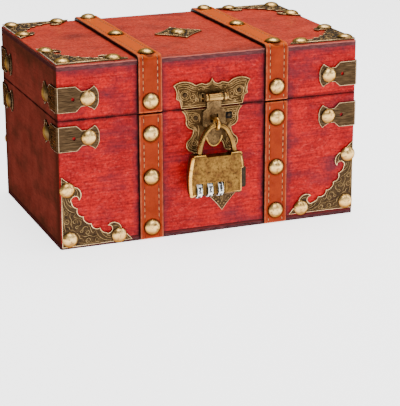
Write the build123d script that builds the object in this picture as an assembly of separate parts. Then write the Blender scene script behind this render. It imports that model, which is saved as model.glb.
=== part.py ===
from build123d import *
import os
from math import atan, cos, pi, sin

# Small wooden treasure chest with straps, corner metalwork, a hasp and a three-dial padlock.
# Millimetres. +Z up, the front faces -Y, and the origin is the centre of the underside.

# The box
box_width = 220.0
box_depth = 140.0
box_height = 128.0
seam_height = 90.0
seam_gap = 0.4
wall = 6.0
board = 4.0
edge_round = 1.5
overrun = 1.0

# Straps
strap_width = 17.0
strap_thickness = 2.6
strap_left_share = -0.409
strap_right_share = 0.436
strap_seam_setback = 0.6
strap_floor_setback = 0.8

# Upholstery nails
nail_head_radius = 5.5
nail_head_height = 3.2
nail_shank_radius = 0.9
nail_depth_in_wood = 3.2
nail_hole_clearance = 0.1
left_strap_nail_shares = (0.844, 0.503, 0.103)
right_strap_nail_shares = (0.867, 0.469, 0.114)
left_strap_nail_rise = 8.6
right_strap_nail_rise = 10.2
strap_top_nail_setback = 6.0

# Corner wraps, bent round each upright edge
wrap_height = 17.0
wrap_thickness = 1.0
wrap_lid_share = 0.38
wrap_left_drop = 12.5
wrap_right_drop = 15.2
wrap_reach_share = 0.259
wrap_nail_share = 0.751
wrap_spare_hole_share = 0.386
wrap_spare_hole_radius = 1.3

# Corner plates, flat on the front, the back and the lid
corner_strap_gap = 3.0
corner_thickness = 0.9
corner_side_inset = 1.0
corner_floor_inset = 1.8
corner_floor_inset_front_right = 4.7
corner_nail_near = 4.2
corner_nail_far_share = 0.816
corner_nail_root = 5.2

# Diamond ornaments
diamond_reach = 18.0
diamond_sag = 0.8
diamond_thickness = 0.8
diamond_front_x = 7.5
diamond_front_share = 0.367
diamond_top_y = -4.0
diamond_top_x = 1.0

# Latch plates and the hasp
latch_half_width = 27.9
latch_thickness = 1.2
latch_seam_setback = 0.7
latch_pin_radius = 1.3
latch_pin_height = 0.6
latch_upper_pin_x = 20.0
latch_upper_pin_rise = 10.2
latch_lower_pin_x = 12.2
latch_lower_pin_drop = 6.6
small_shank_radius = 0.55
small_shank_depth = 3.0
small_hole_clearance = 0.05
barrel_rise = 7.6
barrel_radius = 2.8
barrel_half_width = 8.2
hasp_knuckle_half_width = 5.5
knuckle_gap = 0.25
barrel_plate_gap = 0.3
pin_radius = 1.0
running_clearance = 0.06
hasp_thickness = 1.2
hasp_plate_gap = 0.5
hasp_length = 35.3
slot_half_width = 3.0
slot_top_drop = 12.5
slot_bottom_drop = 18.0
slit_width = 2.3

# Staple ring
ring_out = 9.8
ring_drop = 9.7
ring_radius = 3.65
ring_wire_radius = 1.0
stem_radius = 0.95
stem_drop = 7.7
stem_depth = 5.2
stem_clearance = 0.12
hang_clearance = 0.1

# Shackle
shackle_wire_radius = 1.5
shackle_half_width = 12.8
shackle_spring_drop = 32.0
shackle_side_radius = 32.0

# Padlock
lock_centre_x = -0.8
lock_half_width = 20.4
lock_thickness = 8.5
lock_top_drop = 30.0
lock_height = 29.6
lock_recess_depth = 2.0
lock_edge_round = 1.9
lock_corner_round = 2.4
pivot_drop = 2.7
pivot_pin_radius = 0.6
pivot_pin_inset = 0.8
shackle_foot_below = 1.7
pocket_floor_drop = 6.6
pocket_swing_room = 2.3
pocket_foot_room = 0.5
pocket_clearance = 0.25
shackle_tip_drop = 4.2
dial_count = 3
dial_radius = 5.5
dial_width = 4.6
dial_pitch = 7.8
dial_flutes = 10
dial_flute_radius = 0.9
dial_flute_sink = 0.35
dial_rise = 3.9
dial_first_offset = -13.4
dial_slot_clearance = 0.3
dial_shaft_radius = 1.0
shaft_end_reach = 1.6
slider_width = 6.0
slider_height = 14.9
slider_thickness = 4.6
slider_top_rise = 18.1
slider_travel = 1.6
slider_stand_out = 1.2
slider_clearance = 0.15
notch_depth = 3.2

# Rear hinges
hinge_side_gap = 4.5
hinge_leaf_height = 13.0
hinge_leaf_thickness = 1.0
hinge_barrel_radius = 2.3
hinge_barrel_gap = 0.5
hinge_middle_share = 0.32
hinge_pin_radius = 0.9
hinge_nail_share = 0.31
hinge_nail_drop = 9.0

# Drop handle on the right side
handle_y = 4.0
handle_axis_share = 0.778
handle_axis_out = 4.2
handle_half_span = 16.0
handle_drop = 25.0
handle_wire_radius = 1.4
handle_turn_radius = 1.7
handle_post_half_gap = 10.2
handle_post_width = 3.2
handle_post_radius = 2.4
handle_stub_radius = 1.1
handle_stub_inset = 1.0
handle_plate_half_width = 17.0
handle_plate_thickness = 1.0
handle_plate_top = 9.0
handle_nail_y = 6.0
handle_nail_z = 5.4

# Outlines: a straight step is a point, an arc step is a point on the arc and its end.
# Each is half of the plate, written in shares of the plate's own size.
corner_start_shares = (0.0, 0.0)
corner_outline_shares = [
    (0.008, 1.0), (0.11, 0.91), (0.17, 0.85), (0.265, 0.79, 0.25, 0.66),
    (0.21, 0.72, 0.15, 0.70), (0.13, 0.665, 0.142, 0.632), (0.165, 0.575, 0.222, 0.54),
    (0.226, 0.46, 0.303, 0.414), (0.318, 0.352, 0.335, 0.335)]
wrap_outline_shares = [
    (0.45, 0.5), (0.58, 0.3), (0.70, 0.3, 0.90, 0.47), (0.983, 0.27, 1.0, 0.0)]
upper_start_shares = (0.0, 0.0)
upper_outline_shares = [
    (0.80, 0.0), (0.845, 0.20), (0.935, 0.25), (0.925, 0.42, 1.0, 0.585),
    (0.72, 0.655, 0.43, 0.535), (0.34, 0.565, 0.25, 0.58), (0.20, 0.55, 0.137, 0.548),
    (0.05, 0.595, 0.0, 0.685)]
lower_start_shares = (0.0, 0.0)
lower_outline_shares = [
    (0.79, 0.0), (0.70, -0.12, 0.68, -0.27), (0.66, -0.38, 0.495, -0.485),
    (0.52, -0.64, 0.63, -0.77), (0.66, -0.95, 0.53, -1.05), (0.40, -1.09, 0.32, -1.0),
    (0.20, -0.80, 0.0, -0.76)]
hasp_outline_shares = [
    (0.15, -0.04), (0.15, -0.235), (0.238, -0.29), (0.238, -0.575), (0.163, -0.60),
    (0.163, -0.79), (0.125, -0.92, 0.0, -1.0)]
lock_outline_shares = [(0.88, 1.0), (1.0, 0.52, 0.955, 0.0), (0.0, 0.0)]
handle_outline_shares = [
    (0.0, 1.0), (0.10, 0.80, 0.30, 0.78), (0.62, 1.05, 1.0, 0.72), (0.90, 0.35, 0.80, 0.0)]

# Values worked out from the sizes above
half_width = box_width / 2
half_depth = box_depth / 2
base_top = seam_height - seam_gap / 2
lid_bottom = seam_height + seam_gap / 2
lid_board_z = box_height - board
strap_left_x = strap_left_share * half_width
strap_right_x = strap_right_share * half_width
left_strap_nails_base = [share * seam_height for share in left_strap_nail_shares]
right_strap_nails_base = [share * seam_height for share in right_strap_nail_shares]
left_strap_nail_lid = seam_height + left_strap_nail_rise
right_strap_nail_lid = seam_height + right_strap_nail_rise
wrap_lid_z = seam_height + wrap_lid_share * (box_height - seam_height)
wrap_base_left_z = seam_height - wrap_left_drop
wrap_base_right_z = seam_height - wrap_right_drop
strap_outer_x = strap_right_x + strap_width / 2
wrap_reach = wrap_reach_share * half_width
wrap_nail_reach = wrap_nail_share * wrap_reach
wrap_spare_hole_reach = wrap_spare_hole_share * wrap_reach
hinge_x = (strap_outer_x + half_width - wrap_reach) / 2
hinge_width = half_width - wrap_reach - strap_outer_x - 2 * hinge_side_gap
hinge_nail_side = hinge_nail_share * hinge_width
corner_leg = half_width - strap_outer_x - corner_side_inset - corner_strap_gap
corner_nail_far = corner_nail_far_share * corner_leg
diamond_front_z = diamond_front_share * seam_height
latch_upper_pin_z = seam_height + latch_upper_pin_rise
latch_lower_pin_z = seam_height - latch_lower_pin_drop
barrel_z = seam_height + barrel_rise
ring_z = seam_height - ring_drop
stem_z = seam_height - stem_drop
shackle_spring_z = seam_height - shackle_spring_drop
lock_top_z = seam_height - lock_top_drop
lock_bottom_z = lock_top_z - lock_height
dial_z = lock_bottom_z + dial_rise
slider_top_z = lock_bottom_z + slider_top_rise
handle_axis_z = handle_axis_share * seam_height
barrel_out = latch_thickness + barrel_plate_gap + barrel_radius
hasp_back = latch_thickness + hasp_plate_gap
shackle_top_z = ring_z - ring_radius + ring_wire_radius + hang_clearance + shackle_wire_radius
hinge_axis_y = half_depth + hinge_barrel_gap + hinge_barrel_radius

front_face = Plane(origin=(0, -half_depth, 0), x_dir=(1, 0, 0), z_dir=(0, -1, 0))
back_face = Plane(origin=(0, half_depth, 0), x_dir=(-1, 0, 0), z_dir=(0, 1, 0))
right_face = Plane(origin=(half_width, 0, 0), x_dir=(0, 1, 0), z_dir=(1, 0, 0))
left_face = Plane(origin=(-half_width, 0, 0), x_dir=(0, -1, 0), z_dir=(-1, 0, 0))
top_face = Plane(origin=(0, 0, box_height), x_dir=(1, 0, 0), z_dir=(0, 0, 1))


def block(low, high):
    size = [b - a for a, b in zip(low, high)]
    middle = [(a + b) / 2 for a, b in zip(low, high)]
    return Pos(*middle) * Box(*size)


def rod_between(start, end, radius):
    axis = Vector(*end) - Vector(*start)
    return Plane(origin=start, z_dir=axis) * Cylinder(
        radius, axis.length, align=(Align.CENTER, Align.CENTER, Align.MIN))


def outline_face(start, steps, scale, signs=(1, 1)):
    """A flat face from straight steps (x, y) and arc steps (on x, on y, end x, end y)."""
    def place(x, y):
        return Vector(x * scale[0] * signs[0], y * scale[1] * signs[1])

    here = place(*start)
    edges = []
    for step in steps:
        there = place(*step[-2:])
        if len(step) == 4:
            edges.append(ThreePointArc(here, place(*step[:2]), there))
        else:
            edges.append(Line(here, there))
        here = there
    if (here - place(*start)).length > 0:
        edges.append(Line(here, place(*start)))
    return make_face(edges)


def folded(start, steps, fold):
    """The steps followed by their mirror image, walked backwards to the fold of the start."""
    ends = [start] + [step[-2:] for step in steps]
    back = []
    for step, before in zip(reversed(steps), reversed(ends[:-1])):
        arc = fold(*step[:2]) if len(step) == 4 else ()
        back.append(arc + fold(*before))
    return steps + back


def swap(x, y):
    return (y, x)


def flip_x(x, y):
    return (-x, y)


def flip_y(x, y):
    return (x, -y)


def raised(face, thickness, base=0.0):
    return Pos(0, 0, base) * extrude(face, amount=thickness, dir=(0, 0, 1))


# Upholstery nails

def nail(plane, x, y, underlay):
    """A domed nail whose head sits on a layer of the given thickness."""
    ball = (nail_head_radius ** 2 + nail_head_height ** 2) / (2 * nail_head_height)
    head = Pos(0, 0, nail_head_height - ball) * Sphere(ball)
    head &= block((-ball, -ball, 0), (ball, ball, nail_head_height))
    length = underlay + nail_depth_in_wood
    shank = Cylinder(nail_shank_radius, length, align=(Align.CENTER, Align.CENTER, Align.MAX))
    return plane * (Pos(x, y, underlay) * (head + shank))


def nail_hole(plane, x, y, underlay):
    depth = underlay + nail_depth_in_wood + nail_hole_clearance
    drill = Cylinder(nail_shank_radius + nail_hole_clearance, depth + overrun,
                     align=(Align.CENTER, Align.CENTER, Align.MAX))
    return plane * (Pos(x, y, underlay + overrun) * drill)


def drilled(piece, places):
    return piece - [nail_hole(*place) for place in places]


def strap_places_base(plane):
    side = 1 if plane is front_face else -1
    rows = ((strap_left_x, left_strap_nails_base), (strap_right_x, right_strap_nails_base))
    return [(plane, side * x, z, strap_thickness) for x, heights in rows for z in heights]


def strap_places_lid():
    places = []
    rows = ((strap_left_x, left_strap_nail_lid), (strap_right_x, right_strap_nail_lid))
    end = half_depth - strap_top_nail_setback
    for x, z in rows:
        places += [(front_face, x, z, strap_thickness), (back_face, -x, z, strap_thickness)]
        places += [(top_face, x, y, strap_thickness) for y in (-end, 0.0, end)]
    return places


def wrap_places(side_x, side_y, z):
    reach = wrap_nail_reach
    face = front_face if side_y < 0 else back_face
    flank = right_face if side_x > 0 else left_face
    face_x = side_x * (half_width - reach) * (-side_y)
    flank_x = side_y * (half_depth - reach) * side_x
    return [(face, face_x, z, wrap_thickness), (flank, flank_x, z, wrap_thickness)]


def corner_places(plane, side, up, length_half, height_start):
    """Three nails of a corner plate, from its corner along both edges."""
    spots = ((corner_nail_root, corner_nail_root), (corner_nail_near, corner_nail_far),
             (corner_nail_far, corner_nail_near))
    return [(plane, side * (length_half - u), height_start + up * v, corner_thickness)
            for u, v in spots]


# Wooden panels

def base_panels():
    low, high = board, base_top
    front = block((-half_width, -half_depth, low), (half_width, wall - half_depth, high))
    front = fillet(front.edges().filter_by(Axis.Z).group_by(Axis.Y)[0], edge_round)
    back = Rot(0, 0, 180) * front
    side = block((half_width - wall, wall - half_depth, low),
                 (half_width, half_depth - wall, high))
    bottom = block((-half_width, -half_depth, 0), (half_width, half_depth, board))
    bottom = fillet(bottom.edges().filter_by(Axis.Z), edge_round)
    return {"base_front_panel": front, "base_back_panel": back, "base_right_panel": side,
            "base_left_panel": Rot(0, 0, 180) * side, "base_bottom_board": bottom}


def lid_panels():
    low, high = lid_bottom, lid_board_z
    front = block((-half_width, -half_depth, low), (half_width, wall - half_depth, high))
    front = fillet(front.edges().filter_by(Axis.Z).group_by(Axis.Y)[0], edge_round)
    side = block((half_width - wall, wall - half_depth, low),
                 (half_width, half_depth - wall, high))
    top = block((-half_width, -half_depth, high), (half_width, half_depth, box_height))
    top = fillet(top.edges().filter_by(Axis.Z), edge_round)
    top = fillet(top.faces().sort_by(Axis.Z)[-1].edges(), edge_round)
    return {"lid_front_panel": front, "lid_back_panel": Rot(0, 0, 180) * front,
            "lid_right_panel": side, "lid_left_panel": Rot(0, 0, 180) * side,
            "lid_top_board": top}


# Straps

def base_strap(plane, x):
    low = strap_floor_setback
    high = base_top - strap_seam_setback
    side = 1 if plane is front_face else -1
    edge = side * x - strap_width / 2
    return plane * block((edge, low, 0), (edge + strap_width, high, strap_thickness))


def lid_strap(x):
    """One strap bent over the lid: down the front, along the top and down the back."""
    low = lid_bottom + strap_seam_setback
    reach = half_depth + strap_thickness
    bend = edge_round + strap_thickness
    outer = block((x - strap_width / 2, -reach, low),
                  (x + strap_width / 2, reach, box_height + strap_thickness))
    outer = fillet(outer.edges().filter_by(Axis.X).group_by(Axis.Z)[-1], bend)
    inner = block((x - strap_width, -half_depth, low - overrun),
                  (x + strap_width, half_depth, box_height))
    inner = fillet(inner.edges().filter_by(Axis.X).group_by(Axis.Z)[-1], edge_round)
    return outer - inner


# Metal corners

def wrap_leg(plane, side, half_length, z):
    start = (edge_round / wrap_reach, 0.5)
    steps = folded((start[0], 0.5), wrap_outline_shares, flip_y)
    face = outline_face(start, steps, (wrap_reach, wrap_height), (-side, 1))
    hole = Pos(-side * wrap_spare_hole_reach, 0, 0) * Cylinder(
        wrap_spare_hole_radius, wrap_thickness + overrun)
    leg = raised(face, wrap_thickness) - Pos(0, 0, wrap_thickness / 2) * hole
    return plane * (Pos(side * half_length, z, 0) * leg)


def corner_wrap(side_x, side_y, z):
    face = front_face if side_y < 0 else back_face
    flank = right_face if side_x > 0 else left_face
    legs = (wrap_leg(face, -side_x * side_y, half_width, z)
            + wrap_leg(flank, side_x * side_y, half_depth, z))
    bend = Cylinder(edge_round + wrap_thickness, wrap_height) - Cylinder(edge_round, wrap_height)
    reach = edge_round + wrap_thickness
    quarter = block((0, 0, -wrap_height / 2), (reach, reach, wrap_height / 2))
    if side_x < 0:
        quarter = mirror(quarter, about=Plane.YZ)
    if side_y < 0:
        quarter = mirror(quarter, about=Plane.XZ)
    centre = Pos(side_x * (half_width - edge_round), side_y * (half_depth - edge_round), z)
    return legs + centre * (bend & quarter)


def corner_plate(plane, side, up, half_length, height_start):
    steps = folded(corner_start_shares, corner_outline_shares, swap)
    face = outline_face(corner_start_shares, steps, (corner_leg, corner_leg), (-side, up))
    return plane * (Pos(side * half_length, height_start, 0) * raised(face, corner_thickness))


def diamond_plate(plane, x, y):
    """A four-pointed plate with sides that draw in a little."""
    reach = diamond_reach
    middle = reach / 2 - diamond_sag
    points = [(reach, 0), (0, reach), (-reach, 0), (0, -reach)]
    sags = [(middle, middle), (-middle, middle), (-middle, -middle), (middle, -middle)]
    edges = [ThreePointArc(a, m, b) for a, m, b in zip(points, sags, points[1:] + points[:1])]
    return plane * (Pos(x, y, 0) * raised(make_face(edges), diamond_thickness))


# Small nails

def small_nail(plane, x, y, underlay):
    head = Cylinder(latch_pin_radius, latch_pin_height, align=(Align.CENTER, Align.CENTER, Align.MIN))
    head = fillet(head.edges().sort_by(Axis.Z)[-1], latch_pin_height / 2)
    shank = Cylinder(small_shank_radius, underlay + small_shank_depth,
                     align=(Align.CENTER, Align.CENTER, Align.MAX))
    return plane * (Pos(x, y, underlay) * (head + shank))


def small_hole(plane, x, y, underlay):
    depth = underlay + small_shank_depth + small_hole_clearance
    drill = Cylinder(small_shank_radius + small_hole_clearance, depth + overrun,
                     align=(Align.CENTER, Align.CENTER, Align.MAX))
    return plane * (Pos(x, y, underlay + overrun) * drill)


# Latch and hasp

def along_barrel(half, x, radius):
    """A rod along the hasp's barrel, in the front face's own coordinates."""
    return rod_between((x - half, barrel_z, barrel_out), (x + half, barrel_z, barrel_out), radius)


def latch_upper():
    low = lid_bottom + latch_seam_setback
    steps = folded(upper_start_shares, upper_outline_shares, flip_x)
    face = outline_face(upper_start_shares, steps, (latch_half_width, latch_half_width))
    plate = Pos(0, low, 0) * raised(face, latch_thickness)
    bore = pin_radius + running_clearance
    half = (barrel_half_width - hasp_knuckle_half_width - knuckle_gap) / 2
    middle = barrel_half_width - half
    foot_half = barrel_radius - bore / 2
    for side in (-1, 1):
        foot = block((side * middle - half, barrel_z - foot_half, 0),
                     (side * middle + half, barrel_z + foot_half, latch_thickness + barrel_radius / 2))
        plate += foot + along_barrel(half, side * middle, barrel_radius)
    return front_face * (plate - along_barrel(barrel_half_width + overrun, 0, bore))


def latch_lower():
    high = base_top - latch_seam_setback
    steps = folded(lower_start_shares, lower_outline_shares, flip_x)
    face = outline_face(lower_start_shares, steps, (latch_half_width, latch_half_width))
    plate = Pos(0, high, 0) * raised(face, latch_thickness)
    return front_face * plate - stem_hole()


def hasp():
    start = (0.0, hasp_outline_shares[0][1])
    steps = folded(start, hasp_outline_shares, flip_x)
    face = outline_face(start, steps, (hasp_length, hasp_length))
    leaf = Pos(0, barrel_z, 0) * raised(face, hasp_thickness, hasp_back)
    slot = block((-slot_half_width, barrel_z - slot_bottom_drop, 0),
                 (slot_half_width, barrel_z - slot_top_drop, barrel_out))
    slit = block((-slit_width / 2, barrel_z - hasp_length - overrun, 0),
                 (slit_width / 2, barrel_z - slot_bottom_drop + overrun, barrel_out))
    barrel = along_barrel(hasp_knuckle_half_width, 0, barrel_radius)
    bore = along_barrel(barrel_half_width, 0, pin_radius + running_clearance)
    return front_face * (leaf - slot - slit + barrel - bore)


def hasp_pin():
    return front_face * along_barrel(barrel_half_width, 0, pin_radius)


# Staple ring and shackle

def stem_hole():
    return front_face * rod_between((0, stem_z, -stem_depth - stem_clearance),
                                    (0, stem_z, latch_thickness + overrun), stem_radius + stem_clearance)


def staple_ring():
    ring = Plane(origin=(0, ring_z, ring_out), z_dir=(1, 0, 0)) * Torus(ring_radius, ring_wire_radius)
    drop = stem_z - ring_z
    meet = ring_out - (ring_radius ** 2 - drop ** 2) ** 0.5
    stem = rod_between((0, stem_z, -stem_depth), (0, stem_z, meet), stem_radius)
    return front_face * (ring + stem)


def shackle_path(foot_left, foot_right):
    """Legs, side arcs and top arc, each tangent to the next, in the front face's coordinates."""
    side = shackle_side_radius
    inset = side - shackle_half_width
    rise = shackle_top_z - shackle_spring_z
    turn = pi / 2 - 2 * atan((side - rise) / inset)
    knee_x = side * cos(turn) - inset
    knee_z = shackle_spring_z + side * sin(turn)
    half_x = side * cos(turn / 2) - inset
    half_z = shackle_spring_z + side * sin(turn / 2)
    out = ring_out
    foot_l, foot_r = (-shackle_half_width, foot_left, out), (shackle_half_width, foot_right, out)
    spring_l = (-shackle_half_width, shackle_spring_z, out)
    spring_r = (shackle_half_width, shackle_spring_z, out)
    knee_l, knee_r = (-knee_x, knee_z, out), (knee_x, knee_z, out)
    return [
        Line(foot_l, spring_l),
        ThreePointArc(spring_l, (-half_x, half_z, out), knee_l),
        ThreePointArc(knee_l, (0, shackle_top_z, out), knee_r),
        ThreePointArc(knee_r, (half_x, half_z, out), spring_r),
        Line(spring_r, foot_r)]


def shackle():
    pivot_z = lock_top_z - pivot_drop
    foot_left = pivot_z - shackle_foot_below
    path = shackle_path(foot_left, lock_top_z - shackle_tip_drop)
    foot = Plane(origin=(-shackle_half_width, foot_left, ring_out), z_dir=(0, 1, 0))
    wire = sweep(foot * Circle(shackle_wire_radius), path=Wire(path))
    return front_face * (wire - pivot_rod(lock_thickness, pivot_pin_radius + running_clearance))


# Padlock

def pivot_rod(half, radius):
    """A rod through the padlock at the shackle's pivot."""
    x, z = -shackle_half_width, lock_top_z - pivot_drop
    return rod_between((x, z, ring_out - half), (x, z, ring_out + half), radius)


def lock_block():
    """The padlock's outline with a lowered middle on top, as one block before it is split."""
    height = lock_top_z - lock_bottom_z
    start = (0.0, 1.0)
    steps = folded(start, lock_outline_shares, flip_x)
    face = outline_face(start, steps, (lock_half_width, height))
    corners = [v for v in face.vertices() if abs(v.X) > lock_half_width / 2]
    face = fillet(corners, lock_corner_round)
    body = raised(face, lock_thickness, ring_out - lock_thickness / 2)
    body = Pos(lock_centre_x, lock_bottom_z, 0) * body
    faces = body.faces().sort_by(Axis.Z)
    body = fillet(faces[-1].edges() + faces[0].edges(), lock_edge_round)
    half = shackle_half_width - 2 * shackle_wire_radius - pocket_clearance
    low = lock_top_z - lock_recess_depth
    return body - block((-half, low, 0), (half, lock_top_z + overrun, ring_out + lock_thickness))


def lock_cavities():
    """Every space inside the padlock: dial slots, shackle holes, pin holes and slider bay."""
    far = ring_out + lock_thickness
    below, above = lock_bottom_z - overrun, lock_top_z + overrun
    cuts = []
    for centre in dial_centres():
        half = dial_width / 2 + dial_slot_clearance
        roof = dial_z + dial_radius + dial_slot_clearance
        cuts.append(block((centre - half, below, 0), (centre + half, roof, far)))
    cuts.append(shaft_rod(dial_shaft_radius + running_clearance))

    room = shackle_wire_radius + pocket_clearance
    floor = lock_top_z - pocket_floor_drop
    near, deep = ring_out - room, ring_out + room
    left = -shackle_half_width - room - pocket_swing_room
    right = room + pocket_foot_room - shackle_half_width
    cuts.append(block((left, floor, near), (right, above, deep)))
    left = shackle_half_width - room - pocket_clearance
    right = shackle_half_width + room
    cuts.append(block((left, floor, near), (right, above, deep)))
    half_pin = lock_thickness / 2 - pivot_pin_inset
    cuts.append(pivot_rod(half_pin + running_clearance, pivot_pin_radius + running_clearance))

    edge = lock_centre_x + lock_half_width
    ceiling = slider_top_z + slider_clearance
    cuts.append(block((edge - notch_depth, below, 0), (edge + overrun, ceiling, far)))
    thick = slider_thickness / 2 + slider_clearance
    inner = edge + slider_stand_out - slider_width - slider_clearance
    floor = slider_top_z - slider_height - slider_travel - slider_clearance
    cuts.append(block((inner, floor, ring_out - thick), (edge, ceiling, ring_out + thick)))
    return cuts


def dial_centres():
    first = lock_centre_x + dial_first_offset
    return [first + i * dial_pitch for i in range(dial_count)]


def shaft_rod(radius):
    centres = dial_centres()
    half = dial_width / 2 + dial_slot_clearance + shaft_end_reach
    start, end = centres[0] - half, centres[-1] + half
    return rod_between((start, dial_z, ring_out), (end, dial_z, ring_out), radius)


def lock_shells():
    body = lock_block() - lock_cavities()
    reach = 2 * box_width
    front_half = block((-reach, -reach, ring_out), (reach, reach, reach))
    back_half = block((-reach, -reach, -reach), (reach, reach, ring_out))
    return {"lock_front_shell": front_face * (body & front_half),
            "lock_back_shell": front_face * (body & back_half)}


def dial(centre):
    """A numbered wheel with finger flutes round its rim, on the shaft."""
    def rod(half, z, out, radius):
        return rod_between((centre - half, z, out), (centre + half, z, out), radius)

    half = dial_width / 2
    wheel = rod(half, dial_z, ring_out, dial_radius)
    reach = dial_radius + dial_flute_radius - dial_flute_sink
    flutes = []
    for i in range(dial_flutes):
        angle = 2 * pi * (i + 0.5) / dial_flutes
        z, out = dial_z + reach * cos(angle), ring_out + reach * sin(angle)
        flutes.append(rod(half + overrun, z, out, dial_flute_radius))
    bore = rod(half + overrun, dial_z, ring_out, dial_shaft_radius + running_clearance)
    return front_face * (wheel - flutes - bore)


def dial_shaft():
    return front_face * shaft_rod(dial_shaft_radius)


def pivot_pin():
    return front_face * pivot_rod(lock_thickness / 2 - pivot_pin_inset, pivot_pin_radius)


def release_slider():
    edge = lock_centre_x + lock_half_width + slider_stand_out
    thick = slider_thickness / 2
    body = block((edge - slider_width, slider_top_z - slider_height, ring_out - thick),
                 (edge, slider_top_z, ring_out + thick))
    body = fillet(body.edges().filter_by(Axis.Z).group_by(Axis.X)[-1], edge_round)
    return front_face * body


# Rear hinges

def hinge_leaf(x, is_lid):
    """One leaf with its knuckles, in the back face's coordinates: x, z and outward."""
    out = hinge_axis_y - half_depth
    middle_half = hinge_width * hinge_middle_share / 2
    up = 1 if is_lid else -1
    near = hinge_barrel_radius + hinge_barrel_gap
    ends = sorted((seam_height + up * near, seam_height + up * hinge_leaf_height))
    leaf = block((x - hinge_width / 2, ends[0], 0),
                 (x + hinge_width / 2, ends[1], hinge_leaf_thickness))
    far_edges = leaf.edges().filter_by(Axis.Z).group_by(Axis.Y)[-1 if is_lid else 0]
    leaf = fillet(far_edges, 2 * edge_round)
    if is_lid:
        spans = [(x - middle_half + knuckle_gap, x + middle_half - knuckle_gap)]
    else:
        spans = [(x - hinge_width / 2, x - middle_half), (x + middle_half, x + hinge_width / 2)]
    bore = hinge_pin_radius + running_clearance
    for low, high in spans:
        tab = block((low, seam_height + min(0, up * near), 0),
                    (high, seam_height + max(0, up * near), hinge_leaf_thickness))
        barrel = rod_between((low, seam_height, out), (high, seam_height, out), hinge_barrel_radius)
        leaf += tab + barrel
        leaf -= rod_between((low - overrun, seam_height, out), (high + overrun, seam_height, out), bore)
    return back_face * leaf


def hinge_pin(x):
    out = hinge_axis_y - half_depth
    start, end = x - hinge_width / 2, x + hinge_width / 2
    rod = rod_between((start, seam_height, out), (end, seam_height, out), hinge_pin_radius)
    return back_face * rod


def hinge_nails(up):
    z = seam_height + up * hinge_nail_drop
    return [(back_face, x + side * hinge_nail_side, z, hinge_leaf_thickness)
            for x in (-hinge_x, hinge_x) for side in (-1, 1)]


# Drop handle, in the right face's coordinates: y, z and outward

def handle_plate():
    start = (0.0, 1.0)
    steps = folded(start, handle_outline_shares[1:], flip_y)
    half = outline_face(start, steps, (handle_plate_half_width, handle_plate_top))
    plate = raised(half, handle_plate_thickness)
    plate += mirror(plate, about=Plane.YZ)
    for side in (-1, 1):
        middle = side * (handle_post_half_gap + handle_post_width / 2)
        low, high = middle - handle_post_width / 2, middle + handle_post_width / 2
        post = rod_between((low, 0, handle_axis_out), (high, 0, handle_axis_out), handle_post_radius)
        post += block((low, -handle_post_radius, 0), (high, handle_post_radius, handle_axis_out))
        plate += post
    bore = handle_stub_radius + running_clearance
    reach = handle_half_span + overrun
    plate -= rod_between((-reach, 0, handle_axis_out), (reach, 0, handle_axis_out), bore)
    return right_face * (Pos(handle_y, handle_axis_z, 0) * plate)


def handle_bail():
    """A U of wire whose ends turn in through the two posts."""
    out = handle_axis_out
    span = handle_half_span
    inner = handle_post_half_gap - handle_stub_inset
    route = [(-handle_post_half_gap - handle_post_width - knuckle_gap, 0, out), (-span, 0, out),
             (-span, -handle_drop, out), (span, -handle_drop, out), (span, 0, out),
             (handle_post_half_gap + handle_post_width + knuckle_gap, 0, out)]
    small = handle_turn_radius
    path = FilletPolyline(*route, radius=[small, handle_drop / 2, handle_drop / 2, small])
    wire = sweep(Plane(origin=route[0], z_dir=(-1, 0, 0)) * Circle(handle_wire_radius), path=path)
    for side in (-1, 1):
        wire += rod_between((side * inner, 0, out), (side * (span - small), 0, out), handle_stub_radius)
    return right_face * (Pos(handle_y, handle_axis_z, 0) * wire)


def save(node, shape):
    export_step(shape, os.path.join("parts", node + ".step"))


def group(solids):
    return Compound(children=list(solids))


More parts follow.
